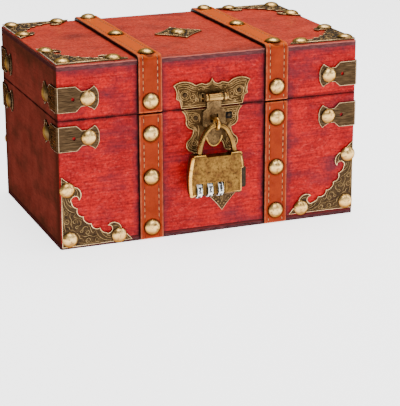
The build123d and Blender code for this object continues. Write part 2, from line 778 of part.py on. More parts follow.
def build():
    os.makedirs("parts", exist_ok=True)
    pieces = {}
    pieces.update(base_panels())
    pieces.update(lid_panels())

    # Straps
    for name, x in (("left", strap_left_x), ("right", strap_right_x)):
        pieces["base_strap_front_" + name] = base_strap(front_face, x)
        pieces["base_strap_back_" + name] = base_strap(back_face, x)
        pieces["lid_strap_" + name] = lid_strap(x)

    # Corner wraps and corner plates
    base_nails = strap_places_base(front_face) + strap_places_base(back_face)
    lid_nails = strap_places_lid()
    for end, side_y in (("front", -1), ("back", 1)):
        for name, side_x in (("left", -1), ("right", 1)):
            low_z = wrap_base_left_z if side_x < 0 else wrap_base_right_z
            tag = end + "_" + name
            pieces["base_corner_wrap_" + tag] = corner_wrap(side_x, side_y, low_z)
            pieces["lid_corner_wrap_" + tag] = corner_wrap(side_x, side_y, wrap_lid_z)
            base_nails += wrap_places(side_x, side_y, low_z)
            lid_nails += wrap_places(side_x, side_y, wrap_lid_z)
            face = front_face if side_y < 0 else back_face
            raised_plate = side_x > 0 and side_y < 0
            floor_inset = corner_floor_inset_front_right if raised_plate else corner_floor_inset
            spot = (-side_x * side_y, 1, half_width - corner_side_inset, floor_inset)
            pieces["base_corner_plate_" + tag] = corner_plate(face, *spot)
            base_nails += corner_places(face, *spot)
            start_y = side_y * (half_depth - corner_side_inset)
            spot = (side_x, -side_y, half_width - corner_side_inset, start_y)
            pieces["lid_corner_plate_" + tag] = corner_plate(top_face, *spot)
            lid_nails += corner_places(top_face, *spot)

    # Diamonds
    pieces["front_diamond_plate"] = diamond_plate(front_face, diamond_front_x, diamond_front_z)
    pieces["top_diamond_plate"] = diamond_plate(top_face, diamond_top_x, diamond_top_y)
    base_nails.append((front_face, diamond_front_x, diamond_front_z, diamond_thickness))
    lid_nails.append((top_face, diamond_top_x, diamond_top_y, diamond_thickness))

    # Latch, hinges and handle plate
    pieces["latch_upper_plate"] = latch_upper()
    pieces["latch_lower_plate"] = latch_lower()
    for name, x in (("left", hinge_x), ("right", -hinge_x)):
        pieces["hinge_" + name + "_base_leaf"] = hinge_leaf(x, False)
        pieces["hinge_" + name + "_lid_leaf"] = hinge_leaf(x, True)
    pieces["handle_plate"] = handle_plate()

    # Every nail hole goes through its plate or strap and into the wood behind it
    for node in list(pieces):
        places = base_nails if node.startswith(("base", "front_diamond")) else lid_nails
        if node.startswith(("latch", "hinge", "handle")):
            continue
        pieces[node] = drilled(pieces[node], places)

    small_base, small_lid = hinge_nails(-1), hinge_nails(1)
    for side in (-1, 1):
        small_base.append((front_face, side * latch_lower_pin_x, latch_lower_pin_z, latch_thickness))
        small_base.append((right_face, handle_y + side * handle_nail_y,
                           handle_axis_z + handle_nail_z, handle_plate_thickness))
        small_lid.append((front_face, side * latch_upper_pin_x, latch_upper_pin_z, latch_thickness))
    for node, places in (("latch_lower_plate", small_base), ("base_front_panel", small_base),
                         ("base_back_panel", small_base), ("base_right_panel", small_base),
                         ("hinge_left_base_leaf", small_base), ("hinge_right_base_leaf", small_base),
                         ("handle_plate", small_base), ("latch_upper_plate", small_lid),
                         ("lid_front_panel", small_lid), ("lid_back_panel", small_lid),
                         ("hinge_left_lid_leaf", small_lid), ("hinge_right_lid_leaf", small_lid)):
        pieces[node] = pieces[node] - [small_hole(*place) for place in places]
    pieces["base_front_panel"] -= stem_hole()

    pieces["base_upholstery_nails"] = group(nail(*place) for place in base_nails)
    pieces["lid_upholstery_nails"] = group(nail(*place) for place in lid_nails)
    pieces["base_small_nails"] = group(small_nail(*place) for place in small_base)
    pieces["lid_small_nails"] = group(small_nail(*place) for place in small_lid)
    pieces["hinge_pins"] = group(hinge_pin(x) for x in (-hinge_x, hinge_x))

    # Hasp, staple, padlock and handle
    pieces["hasp"] = hasp()
    pieces["hasp_pin"] = hasp_pin()
    pieces["staple_ring"] = staple_ring()
    pieces["shackle"] = shackle()
    pieces.update(lock_shells())
    for number, centre in enumerate(dial_centres(), 1):
        pieces["dial_" + str(number)] = dial(centre)
    pieces["dial_shaft"] = dial_shaft()
    pieces["shackle_pivot_pin"] = pivot_pin()
    pieces["release_slider"] = release_slider()
    pieces["handle_bail"] = handle_bail()

    for node, shape in pieces.items():
        save(node, shape)
    print(len(pieces), "nodes")


build()
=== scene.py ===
import math

import bmesh
import bpy
from mathutils import Matrix, Vector, noise

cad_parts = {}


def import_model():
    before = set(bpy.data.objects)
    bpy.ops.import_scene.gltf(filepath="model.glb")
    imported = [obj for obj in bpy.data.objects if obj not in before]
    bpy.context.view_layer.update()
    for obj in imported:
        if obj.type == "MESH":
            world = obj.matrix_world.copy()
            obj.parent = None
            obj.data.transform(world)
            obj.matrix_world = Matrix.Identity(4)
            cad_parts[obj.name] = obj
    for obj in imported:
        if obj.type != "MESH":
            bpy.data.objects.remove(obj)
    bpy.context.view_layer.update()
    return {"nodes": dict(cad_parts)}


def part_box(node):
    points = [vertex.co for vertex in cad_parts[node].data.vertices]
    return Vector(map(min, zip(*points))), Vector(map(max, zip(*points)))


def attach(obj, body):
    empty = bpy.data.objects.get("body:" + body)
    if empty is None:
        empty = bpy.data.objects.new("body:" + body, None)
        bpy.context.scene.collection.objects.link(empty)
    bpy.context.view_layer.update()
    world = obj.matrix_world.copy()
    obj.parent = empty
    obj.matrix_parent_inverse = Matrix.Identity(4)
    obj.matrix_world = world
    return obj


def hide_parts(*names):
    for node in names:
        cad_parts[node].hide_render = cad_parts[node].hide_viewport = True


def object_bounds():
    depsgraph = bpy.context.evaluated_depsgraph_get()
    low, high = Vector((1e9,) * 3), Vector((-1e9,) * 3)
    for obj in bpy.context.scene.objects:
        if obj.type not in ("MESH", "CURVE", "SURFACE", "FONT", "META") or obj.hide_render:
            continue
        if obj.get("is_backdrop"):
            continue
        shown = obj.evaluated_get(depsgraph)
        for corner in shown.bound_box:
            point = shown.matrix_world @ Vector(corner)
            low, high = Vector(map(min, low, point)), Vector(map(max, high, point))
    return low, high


# Treasure chest: stained plywood, tan straps, bronze corners, a butterfly hasp and a padlock.
# The frame is in metres. Sizes here are in millimetres until a mesh is made.
MM = 0.001
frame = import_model()


# Measures taken from the frame
def node_box(node):
    """Lowest and highest corner of a CAD node, in millimetres."""
    low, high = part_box(node)
    return low / MM, high / MM


def node_centre(node):
    low, high = node_box(node)
    return (low + high) / 2


BODIES = ("base", "lid")
HALF_X, HALF_Y, BOARD_TOP = node_box("base_bottom_board")[1]
SEAM_LOW = node_box("base_front_panel")[1].z
SEAM_HIGH = node_box("lid_front_panel")[0].z
SEAM = (SEAM_LOW + SEAM_HIGH) / 2
TOP_BOARD_LOW, TOP = [corner.z for corner in node_box("lid_top_board")]
EDGE_ROUND, FACE_DEPTH = 1.5, 0.7


def face_frame(origin, right, up):
    """Maps (right, up, out) in millimetres on a side of the box to the frame."""
    right, up = Vector(right), Vector(up)
    matrix = Matrix((right, up, right.cross(up))).transposed().to_4x4()
    matrix.translation = Vector(origin)
    return matrix


FRONT = face_frame((0, -HALF_Y, 0), (1, 0, 0), (0, 0, 1))
BACK = face_frame((0, HALF_Y, 0), (-1, 0, 0), (0, 0, 1))
ABOVE = face_frame((0, 0, TOP), (1, 0, 0), (0, 1, 0))

# Materials
MATH, RANGE = "ShaderNodeMath", "ShaderNodeMapRange"


def linear(hex_colour):
    """An sRGB hex value as a linear colour."""
    values = [int(hex_colour[i:i + 2], 16) / 255 for i in (1, 3, 5)]
    return [v / 12.92 if v <= 0.04045 else ((v + 0.055) / 1.055) ** 2.4 for v in values] + [1]


def add(tree, kind, inputs=None, stops=(), **settings):
    """Adds a node with its settings, its input links or values, and any ramp stops; "#" marks a colour."""
    node = tree.nodes.new(kind)
    for name, value in settings.items():
        setattr(node, name, value)
    for key, value in (inputs or {}).items():
        if isinstance(value, bpy.types.NodeSocket):
            tree.links.new(value, node.inputs[key])
        elif isinstance(value, bpy.types.Node):
            tree.links.new(value.outputs[0], node.inputs[key])
        elif isinstance(value, str) and value.startswith("#"):
            node.inputs[key].default_value = linear(value)
        else:
            node.inputs[key].default_value = value
    for number, (position, level) in enumerate(stops):
        ramp = node.color_ramp.elements
        stop = ramp[number] if number < 2 else ramp.new(position)
        stop.position, stop.color = position, (level, level, level, 1)
    return node


def finish(name, **shader_values):
    """A new material with its shader's own values, ready for its nodes."""
    material = bpy.data.materials.new(name)
    material.use_nodes = True
    tree = material.node_tree
    shader = tree.nodes["Principled BSDF"]
    for key, value in shader_values.items():
        is_colour = isinstance(value, str)
        shader.inputs[key.replace("_", " ")].default_value = linear(value) if is_colour else value
    return material, tree, shader


def pattern(tree, size, detail=2.0, low=0.3, high=0.7, roughness=0.5):
    """Clouds about as long as a size in mm, or as three along x, y and z, spread from 0 to 1."""
    sizes = size if isinstance(size, list) else [size] * 3
    place = add(tree, "ShaderNodeTexCoord")
    mapped = add(tree, "ShaderNodeMapping", {
        "Vector": place.outputs["Object"], "Scale": [1 / (length * MM) for length in sizes]})
    cloud = add(tree, "ShaderNodeTexNoise", {
        "Vector": mapped, "Scale": 1.0, "Detail": detail, "Roughness": roughness})
    return add(tree, RANGE, {"Value": cloud.outputs["Fac"], "From Min": low, "From Max": high})


def layered(tree, ground, *layers):
    """Colours laid over a ground colour, each through its own (share, strength)."""
    colour = ground
    for share, strength, over in layers:
        cover = add(tree, MATH, {0: share, 1: strength}, operation="MULTIPLY")
        colour = add(tree, "ShaderNodeMix", {0: cover, 6: colour, 7: over}, data_type="RGBA").outputs[2]
    return colour


def coloured(tree, shader, ground, *layers):
    tree.links.new(layered(tree, ground, *layers), shader.inputs["Base Color"])


def varied(tree, shader, socket, share, low, high):
    """Runs one of the shader's values from low to high with a share."""
    level = add(tree, RANGE, {"Value": share, "To Min": low, "To Max": high})
    tree.links.new(level.outputs[0], shader.inputs[socket])


def roughened(tree, shader, height, depth):
    """Links a height pattern to the shader as bump of a depth in millimetres."""
    bump = add(tree, "ShaderNodeBump", {"Height": height, "Distance": depth * MM})
    tree.links.new(bump.outputs[0], shader.inputs["Normal"])


def parts_of(tree, kind="Object"):
    """The x, y and z of a point's place on its object, or of the way that it faces there ("Normal")."""
    place = add(tree, "ShaderNodeTexCoord").outputs[kind]
    return add(tree, "ShaderNodeSeparateXYZ", {"Vector": place}).outputs


def outside(tree):
    """1 on the box's outer faces and off the box, and 0 on its boards' inner faces and rims."""
    parts, outer = parts_of(tree), 0.0
    for axis, middle, half in (("X", 0.0, HALF_X), ("Y", 0.0, HALF_Y), ("Z", TOP / 2, TOP / 2)):
        offset = add(tree, MATH, {0: parts[axis], 1: middle * MM}, operation="SUBTRACT")
        reach = add(tree, MATH, {0: offset}, operation="ABSOLUTE")
        beyond = add(tree, MATH, {0: reach, 1: (half - FACE_DEPTH) * MM}, operation="GREATER_THAN")
        outer = add(tree, MATH, {0: outer, 1: beyond}, operation="MAXIMUM")
    return outer


def near_lines(tree, lines, width, wobble):
    """From 1 on lines (axis, place in mm) to 0 about a width in mm beside them, on the box's outer faces."""
    parts, nearest = parts_of(tree), None
    for axis, line in lines:
        offset = add(tree, MATH, {0: parts[axis], 1: line * MM}, operation="SUBTRACT")
        gap = add(tree, MATH, {0: offset}, operation="ABSOLUTE")
        nearest = gap if nearest is None else add(tree, MATH, {0: nearest, 1: gap}, operation="MINIMUM")
    shaken = add(tree, MATH, {0: wobble, 1: width * MM, 2: nearest}, operation="MULTIPLY_ADD")
    line = add(tree, RANGE, {"Value": shaken, "From Min": 1.6 * width * MM, "From Max": 0.35 * width * MM})
    return add(tree, MATH, {0: line, 1: outside(tree)}, operation="MULTIPLY")


def facing(tree, axis):
    """1 on faces that look along an axis, either way, and 0 on the others."""
    level = add(tree, MATH, {0: parts_of(tree, "Normal")[axis]}, operation="ABSOLUTE")
    return add(tree, RANGE, {"Value": level, "From Min": 0.45, "From Max": 0.85})


STRAP_BOXES = [node_box("base_strap_front_" + side) for side in ("left", "right")]
STRAP_LEFTS = [("X", low.x) for low, _ in STRAP_BOXES]
STRAP_RIGHTS = [("X", high.x) for _, high in STRAP_BOXES]
ENDS_Y = [("Y", -HALF_Y), ("Y", HALF_Y)]
SEAMS = [("Z", SEAM_LOW), ("Z", SEAM_HIGH)]
# Pores are 0.1 to 0.3 mm wide in birch: drawn about 1.3 mm wide, so that they show
GRAIN_X, GRAIN_Y = [40.0, 1.3, 1.3], [1.3, 40.0, 1.3]


def stained_plywood(name, tones, grain, edges, joint_and_shadow_lines, gloss=0.42, shine=0.06, texture=1.0, joint=2.0,
                    shade_width=5.0, end_grain=1.0):
    """Plywood with a spirit stain under thin brushed varnish.

    The eye sees cloudy red with fine flecks, thin darker pores along the grain, grey-purple patches at
    random, a painted shade of the same plum along the box's edges and beside the straps, a near-black
    joint line, a painted near-black shadow beside the straps, matt brown board ends, and a plainer,
    paler red inside.
    """
    bright, middle, dark, plum, black, glint = tones
    material, tree, shader = finish(name, Roughness=gloss)
    ends = facing(tree, "X")
    clouds = pattern(tree, 18, detail=5.0, low=0.34, high=0.66, roughness=0.6)
    patches = pattern(tree, [26, 26, 14], detail=4.0, low=0.50, high=0.74, roughness=0.6)
    pores = pattern(tree, grain, detail=4.0, low=0.44, high=0.70, roughness=0.65)
    flecks = pattern(tree, 1.9, detail=3.0, low=0.42, high=0.68, roughness=0.7)
    glints = pattern(tree, [3.1, 3.1, 1.4], detail=3.0, low=0.52, high=0.74, roughness=0.7)
    line_wobble = pattern(tree, 7, detail=4.0, low=0.2, high=0.8)
    inner = add(tree, MATH, {0: 1.0, 1: outside(tree)}, operation="SUBTRACT")
    inner_red = layered(tree, "#A81E18", (clouds, 1.0, "#CC3C30"), (pores, 0.4, "#7A1412"))
    # Plum by the edges and straps and black beside the straps are painted shade; black along the box's
    # joints is a real joint line
    coloured(tree, shader, middle, (clouds, 1.0, bright), (glints, 0.32 * texture, glint),
             (pores, 0.55 * texture, dark), (flecks, 0.56 * texture, dark), (patches, 0.7, plum),
             (near_lines(tree, edges, shade_width, line_wobble), 0.75, plum), (ends, end_grain, "#3C1810"),
             (near_lines(tree, STRAP_RIGHTS, 1.3, line_wobble), 0.6, black),
             (near_lines(tree, joint_and_shadow_lines, joint, line_wobble), 0.97, black), (inner, 1.0, inner_red))
    roughened(tree, shader, pattern(tree, grain, detail=4.0, roughness=0.7), 0.14)
    varied(tree, shader, "Specular IOR Level", ends, shine, 0.0)
    varied(tree, shader, "Roughness", flecks, gloss - 0.06, gloss + 0.16)
    return material


# Tones: bright, middle, dark, plum for patches and painted shade, joint line and painted shadow line, glints
reds = ("#BE1614", "#920E12", "#40060C", "#44202A", "#120305", "#EA5850")
# Side tones: the red stain darkened to brown on the sides' outer faces, a painted shade
side_shade_tones = ("#62281F", "#521F17", "#36120C", "#2E1A10", "#100404", "#682C20")
top_tones = ("#D8442A", "#C0341E", "#721A12", "#60221C", "#1A0608", "#EA7460")
bottom_tones = ("#5E1012", "#480A0C", "#240708", "#200C0C", "#100404", "#5E1414")
# The sides lie in the shade in use: their outer faces are painted duller and browner as painted shade, and
# without dark ends
side_look = {"gloss": 0.6, "shine": 0.0, "texture": 0.4, "joint": 0.8, "shade_width": 13.0, "end_grain": 0.0}
front_wood, side_wood = {}, {}
for body, rim in (("base", 0), ("lid", TOP_BOARD_LOW)):
    front_wood[body] = stained_plywood("crimson_stained_plywood_" + body, reds, GRAIN_X,
                                       STRAP_LEFTS + STRAP_RIGHTS + [("Z", rim)], SEAMS + STRAP_LEFTS)
    side_wood[body] = stained_plywood("brown_stained_plywood_" + body, side_shade_tones, GRAIN_Y,
                                      ENDS_Y + [("Z", rim)], SEAMS, **side_look)


def banded_board(name, low, high, tones, band, band_share, rub):
    """A stained board whose cut edge shows a dark band of end grain under an upper corner that is rubbed
    paler and carries a painted highlight.
    """
    material = stained_plywood(name, tones, GRAIN_X, ENDS_Y + STRAP_RIGHTS, STRAP_LEFTS, gloss=0.40)
    tree = material.node_tree
    shader = tree.nodes["Principled BSDF"]
    shaken = add(tree, MATH, {0: pattern(tree, 7, detail=3.0), 1: 0.5 * MM, 2: parts_of(tree)["Z"]},
                 operation="MULTIPLY_ADD")
    share = add(tree, RANGE, {"Value": shaken, "From Min": low * MM, "From Max": high * MM})
    banded = add(tree, "ShaderNodeValToRGB", {"Fac": share}, stops=[
        (0.0, 1), (band_share, 1), (band_share + 0.10, 0)])
    rubbed = add(tree, "ShaderNodeValToRGB", {"Fac": share}, stops=[
        (band_share, 0), (band_share + 0.10, 1), (band_share + 0.16, 1), (0.985, 0)])
    mottle = pattern(tree, [5, 5, 1.4], detail=4.0, low=0.4, high=0.68, roughness=0.7)
    mottled_band = layered(tree, band, (mottle, 0.6, "#6E4244"))
    now = shader.inputs["Base Color"].links[0].from_socket
    # The pale line on the upper corner is rubbed wear and painted highlight together
    cut_edge = layered(tree, now, (rubbed, 0.5, rub), (banded, 0.92, mottled_band),
                       (facing(tree, "X"), 0.8, "#2A120E"))
    coloured(tree, shader, cut_edge, (facing(tree, "Z"), 1.0, now))
    return material


wood_top = banded_board("orange_red_top_board", TOP_BOARD_LOW, TOP, top_tones, "#3A1C20", 0.66, "#C07468")
wood_bottom = banded_board("dark_bottom_board", 0, BOARD_TOP, bottom_tones, "#2A0A0E", 0.60, "#6E1A1C")


def strap_leather():
    """Split leather with a dyed and stamped coat.

    The eye sees satin orange-tan, lighter on faces along z as a painted highlight on the lid's top, a
    paler rubbed border that becomes a painted highlight toward the cut ends, a black painted cut edge
    widened with painted shadow, painted shade round the nails, and soft creases.
    """
    material, tree, shader = finish("tan_coated_leather", Roughness=0.42, Specular_IOR_Level=0.05)
    across, rise, dip = [add(tree, "ShaderNodeAttribute", attribute_name=name).outputs["Fac"]
                         for name in ("across", "rise", "dip")]
    clouds = pattern(tree, 9, detail=4.0)
    creases = pattern(tree, 2.2, detail=4.0, low=0.55, high=0.75, roughness=0.7)
    rub = add(tree, RANGE, {"Value": across, "From Min": 0.84, "From Max": 0.97})
    patchy = add(tree, MATH, {0: rub, 1: pattern(tree, 4, detail=4.0, low=0.25, high=0.75)},
                 operation="MULTIPLY")
    cut = add(tree, RANGE, {"Value": rise, "From Min": 0.90, "From Max": 0.70})
    # Lighter faces along z and the pale ends are painted highlight, the dip by the nails is painted shade,
    # and the black cut band is edge paint widened with painted shadow
    coloured(tree, shader, "#78220B", (clouds, 1.0, "#90300E"), (facing(tree, "Z"), 0.85, "#D4580C"),
             (creases, 0.35, "#561402"), (patchy, 0.85, "#C87450"), (dip, 1.0, "#3A0E05"),
             (cut, 1.0, "#140E0C"))
    # Stamped grain is about 0.3 mm: drawn at 0.8 mm, so that it shows
    roughened(tree, shader, pattern(tree, 0.8, detail=3.0), 0.05)
    return material


def clouded(name, deep, middle, bright, size, roughness, spots=0.5, relief=0.05, **shader_values):
    """A surface clouded from middle to bright, with deep spots of a size in millimetres."""
    material, tree, shader = finish(name, **{"Metallic": 1.0, "Roughness": roughness, **shader_values})
    grit = pattern(tree, size, detail=3.0, low=0.42, high=0.68, roughness=0.7)
    coloured(tree, shader, middle, (pattern(tree, size * 4, detail=4.0), 1.0, bright), (grit, spots, deep))
    varied(tree, shader, "Roughness", grit, roughness - 0.05, roughness + 0.22)
    roughened(tree, shader, pattern(tree, size * 0.7, detail=3.0), relief)
    return material


def brushed_bronze():
    """Bronze-plated steel sheet, rolled and brushed along its length and toned dark.

    The eye sees olive-brown metal with fine level lines, some lighter and some nearly black.
    """
    material, tree, shader = finish("brushed_toned_bronze", Metallic=1.0, Roughness=0.5,
                                    Specular_Tint="#8C7C68")
    # Brush marks are finer than 0.1 mm: drawn about 0.5 mm wide, so that they show
    marks = pattern(tree, [9.0, 9.0, 0.7], detail=3.0, low=0.34, high=0.70, roughness=0.7)
    scuffs = pattern(tree, [9.0, 9.0, 0.9], detail=3.0, low=0.58, high=0.74)
    coloured(tree, shader, "#2A1E14", (marks, 0.9, "#624C34"),
             (pattern(tree, [7, 7, 4], detail=3.0), 0.45, "#231910"), (scuffs, 0.35, "#8A7050"))
    roughened(tree, shader, marks, 0.04)
    return material


def lock_plating():
    """Die-cast zinc, tumbled and plated in antique brass.

    The eye sees mottled brown-gold with dark specks, and near-black painted shade on the sides of the dial
    windows.
    """
    material, tree, shader = finish("mottled_antique_brass", Metallic=1.0, Roughness=0.4)
    clouds = pattern(tree, 7, detail=5.0, low=0.34, high=0.66, roughness=0.6)
    specks = pattern(tree, 2, detail=4.0, low=0.46, high=0.68, roughness=0.7)
    boxes = [node_box("dial_%d" % number) for number in (1, 2, 3)]
    sides = near_lines(tree, [("X", corner.x) for box in boxes for corner in box], 1.2, specks)
    top = boxes[0][1].z
    level = add(tree, RANGE, {
        "Value": parts_of(tree)["Z"], "From Min": top * MM, "From Max": (top - 1) * MM})
    # Painted shade: near black on the sides of the dial windows
    windows = add(tree, MATH, {0: sides, 1: level}, operation="MULTIPLY")
    coloured(tree, shader, "#52341A", (clouds, 1.0, "#82602C"), (specks, 0.85, "#28170A"),
             (windows, 1.0, "#080503"))
    varied(tree, shader, "Roughness", specks, 0.34, 0.55)
    roughened(tree, shader, specks, 0.05)
    return material


def dial_coat():
    """Moulded plastic wheels with a silvery white coat round them.

    The eye sees nearly white rims, and near-black sides that are painted shade.
    """
    material, tree, shader = finish("silvery_white_dial", Roughness=0.35)
    # The side faces are painted near black as painted shade
    coloured(tree, shader, "#F4F4F2", (pattern(tree, 2), 1.0, "#FFFFFF"),
             (facing(tree, "X"), 1.0, "#080706"))
    return material


def plated_nail(name, toned):
    """Stamped steel, plated pale gold, and darkened by a share of brown as painted shade.

    The eye sees a cream-gold crown with a few brown spots, turning brown round the foot, with a painted
    shade of brown on faces that look down.
    """
    material, tree, shader = finish(name, Metallic=1.0, Roughness=0.34 + 0.2 * toned,
                                    Specular_Tint="#C8A878")
    crown = add(tree, "ShaderNodeAttribute", attribute_name="crown").outputs["Fac"]
    foot = add(tree, RANGE, {"Value": crown, "From Min": 0.75, "From Max": 0.15})
    under = add(tree, RANGE, {"Value": parts_of(tree, "Normal")["Z"], "From Min": 0.02, "From Max": -0.36})
    spots = pattern(tree, 2, detail=3.0, low=0.52, high=0.66)
    clouds = pattern(tree, 5, detail=3.0)
    # Brown on faces that look down is a painted shade
    coloured(tree, shader, "#DFAE5E", (clouds, 1.0, "#F2CE88"), (under, 0.85, "#7C4E20"),
             (foot, 0.75, "#6A441C"), (spots, 0.75, "#6E4620"), (1.0, toned, "#3E3226"))
    roughened(tree, shader, clouds, 0.03)
    return material


leather = strap_leather()
# Polyester sewing thread, twisted and waxed: dull cream
thread = clouded("cream_waxed_thread", "#7E4A24", "#B07A4A", "#D0A474", 0.6, 0.7, Metallic=0.0)
# Holes that the needle left, seen as dark dots
needle_hole = clouded("dark_needle_holes", "#140603", "#2A0E06", "#3A1608", 0.6, 0.8, Metallic=0.0)
nail_gold = plated_nail("pale_gold_plated_nail", 0.0)
# The same plating on the sides' nails, made browner as painted shade
nail_shaded = plated_nail("browned_plated_nail", 0.85)
bronze_wrap = brushed_bronze()
# Stamped and toned steel, left dark where nothing rubs it
bronze_ground = clouded("dark_bronze_ground", "#140E08", "#30231A", "#4C3A26", 0.6, 0.44, spots=0.6)
# The same plating, rubbed back to the metal on the relief
bronze_rib = clouded("rubbed_bronze_relief", "#382A18", "#6C5232", "#A2865A", 0.8, 0.32)
# The same plating on the wraps' thin edges, rubbed less, and on the painted highlight down their bends
wrap_rim = clouded("rubbed_wrap_edges", "#5A4630", "#A08462", "#D0B088", 1.4, 0.34)
# The same plating, rubbed brightest along cut rims
cream_rim = clouded("rubbed_bright_rim", "#7E5C34", "#C8A472", "#ECCB98", 0.9, 0.28, spots=0.35)
# Die-cast zinc plated in antique brass: dark in its engraving, brown-gold on its lines
latch_ground = clouded("dark_engraved_brass", "#140C06", "#342412", "#543C22", 0.8, 0.42, spots=0.65,
                       relief=0.08, Specular_Tint="#A08A6C")
latch_line = clouded("rubbed_engraved_lines", "#4A341C", "#8C6C42", "#B4905E", 0.8, 0.36)
latch_rim = clouded("rubbed_latch_rim", "#543C20", "#9A784A", "#C4A06C", 0.9, 0.32, spots=0.4)
# The same casting on the hasp, left pebbled
hasp_brass = clouded("pebbled_antique_brass", "#181006", "#483420", "#806440", 1.1, 0.36, spots=0.8,
                     relief=0.14)
lock_brass = lock_plating()
# The same plating made lighter as a painted highlight, on the padlock's rolled edge and shoulders, the
# hasp's rolled tip and the staple ring
lock_highlight = clouded("rubbed_padlock_edge", "#7A5220", "#C48A36", "#EEBE66", 0.9, 0.30, spots=0.2)
# Drawn wire with the same plating: smoother and lighter
wire_brass = clouded("drawn_antique_brass_wire", "#33220F", "#664A24", "#94703A", 1.4, 0.20, spots=0.3,
                     relief=0.01)
# Turned brass, worn bright where fingers lift it
turned_brass = clouded("turned_bright_brass", "#5A3E1C", "#8E6A38", "#B08A50", 4.0, 0.20, spots=0.1,
                       relief=0.0)
wheel_white = dial_coat()
# Ink pressed into the moulded numbers: matt black
ink = clouded("black_filled_numbers", "#020202", "#080808", "#101010", 0.4, 0.6, Metallic=0.0)
# Blackened steel: nearly black and dull
eye_black = clouded("blackened_steel_eye", "#040404", "#100F0E", "#1E1C1A", 0.7, 0.5)
# Moulded plastic, dark and satin
slider_dark = clouded("dark_moulded_slider", "#0A0805", "#221A10", "#3A2C1A", 0.8, 0.5, Metallic=0.0,
                      Specular_IOR_Level=0.1)


# Meshes
def settle(obj, body, slot, *replaced):
    """Rides a finished piece on its body and hides the CAD nodes that it stands for; its slot is not used.
    """
    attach(obj, body)
    if replaced:
        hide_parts(*replaced)


def made(name, mesh):
    obj = bpy.data.objects.new(name, mesh)
    bpy.context.scene.collection.objects.link(obj)
    return obj


def baked(holder):
    """The plain mesh that a temporary object evaluates to."""
    bpy.context.view_layer.update()
    evaluated = holder.evaluated_get(bpy.context.evaluated_depsgraph_get())
    mesh = bpy.data.meshes.new_from_object(evaluated)
    bpy.data.objects.remove(holder)
    return mesh


def welded(mesh):
    """A mesh opened for work, with the corners joined that its faces share."""
    work = bmesh.new()
    work.from_mesh(mesh)
    bmesh.ops.remove_doubles(work, verts=work.verts, dist=0.002 * MM)
    return work


def shell(name, points, faces, material, smooth=True):
    """A mesh object from points in millimetres, its faces turned outwards."""
    mesh = bpy.data.meshes.new(name)
    mesh.from_pydata([Vector(p) * MM for p in points], [], faces)
    work = bmesh.new()
    work.from_mesh(mesh)
    bmesh.ops.recalc_face_normals(work, faces=work.faces)
    work.to_mesh(mesh)
    work.free()
    mesh.polygons.foreach_set("use_smooth", [smooth] * len(mesh.polygons))
    mesh.materials.append(material)
    return made(name, mesh)


def tube_faces(rows, around):
    """Faces between rows of points round a tube, and its two ends."""
    faces = [(row * around + k, row * around + (k + 1) % around, (row + 1) * around + (k + 1) % around,
              (row + 1) * around + k) for row in range(rows - 1) for k in range(around)]
    return faces + [tuple(range(around)), tuple((rows - 1) * around + k for k in range(around))]


def record(mesh, name, values, kind="FLOAT", field="value"):
    """Keeps a value for each point of a mesh under a name."""
    mesh.attributes.new(name, kind, "POINT").data.foreach_set(field, values)


def islands(node):
    """The separate solids of a CAD node, each as its list of corner points in millimetres."""
    work = welded(frame["nodes"][node].data)
    # A dict keeps its order where a set doesn't, so that each run finds the same solids in the same order
    left, found = dict.fromkeys(work.verts), []
    while left:
        stack, group = [left.popitem()[0]], []
        while stack:
            vert = stack.pop()
            group.append(vert.co / MM)
            for edge in vert.link_edges:
                other = edge.other_vert(vert)
                if other in left:
                    del left[other]
                    stack.append(other)
        found.append(group)
    work.free()
    return found


# Points further from a nail's middle than this share of its width are on its rim
RIM_SHARE = 0.49


def head_places(node, diameter):
    """Where each nail head sits and which way it faces: (centre of its foot, outward)."""
    places = []
    for points in islands(node):
        low = Vector([min(p[i] for p in points) for i in range(3)])
        high = Vector([max(p[i] for p in points) for i in range(3)])
        spans, centre = high - low, (low + high) / 2
        axis = max(range(3), key=lambda i: abs(spans[i] - diameter))
        side = 1 if axis == 2 or centre[axis] > 0 else -1
        outward = Vector([side if i == axis else 0 for i in range(3)])
        offsets = [(p, p - centre) for p in points]
        rim = [p for p, offset in offsets
               if (offset - outward * offset.dot(outward)).length > RIM_SHARE * diameter]
        centre[axis] = sum(p[axis] for p in rim) / len(rim)
        places.append((centre, outward))
    return places


def node_tree(name, sockets):
    """A Geometry Nodes tree with named inputs, and its input and output nodes."""
    tree = bpy.data.node_groups.new(name, "GeometryNodeTree")
    for label, kind in [("Geometry", "Geometry")] + sockets:
        tree.interface.new_socket(label, in_out="INPUT", socket_type="NodeSocket" + kind)
    tree.interface.new_socket("Geometry", in_out="OUTPUT", socket_type="NodeSocketGeometry")
    return tree, tree.nodes.new("NodeGroupInput"), tree.nodes.new("NodeGroupOutput")


def close_tree(tree, instances, given, out):
    """Ends a tree with real, smooth geometry in its material."""
    real = add(tree, "GeometryNodeRealizeInstances", {"Geometry": instances})
    smooth = add(tree, "GeometryNodeSetShadeSmooth", {"Geometry": real})
    painted = add(tree, "GeometryNodeSetMaterial", {"Geometry": smooth, "Material": given.outputs["Finish"]})
    tree.links.new(painted.outputs[0], out.inputs[0])
    return tree


def grown(name, source, tree, **values):
    """The plain mesh object that a tree makes from a source mesh."""
    holder = made(name + "_source", source)
    modifier = holder.modifiers.new("grow", "NODES")
    modifier.node_group = tree
    for item in tree.interface.items_tree:
        if item.name.replace(" ", "_") in values:
            modifier[item.identifier] = values[item.name.replace(" ", "_")]
    return made(name, baked(holder))


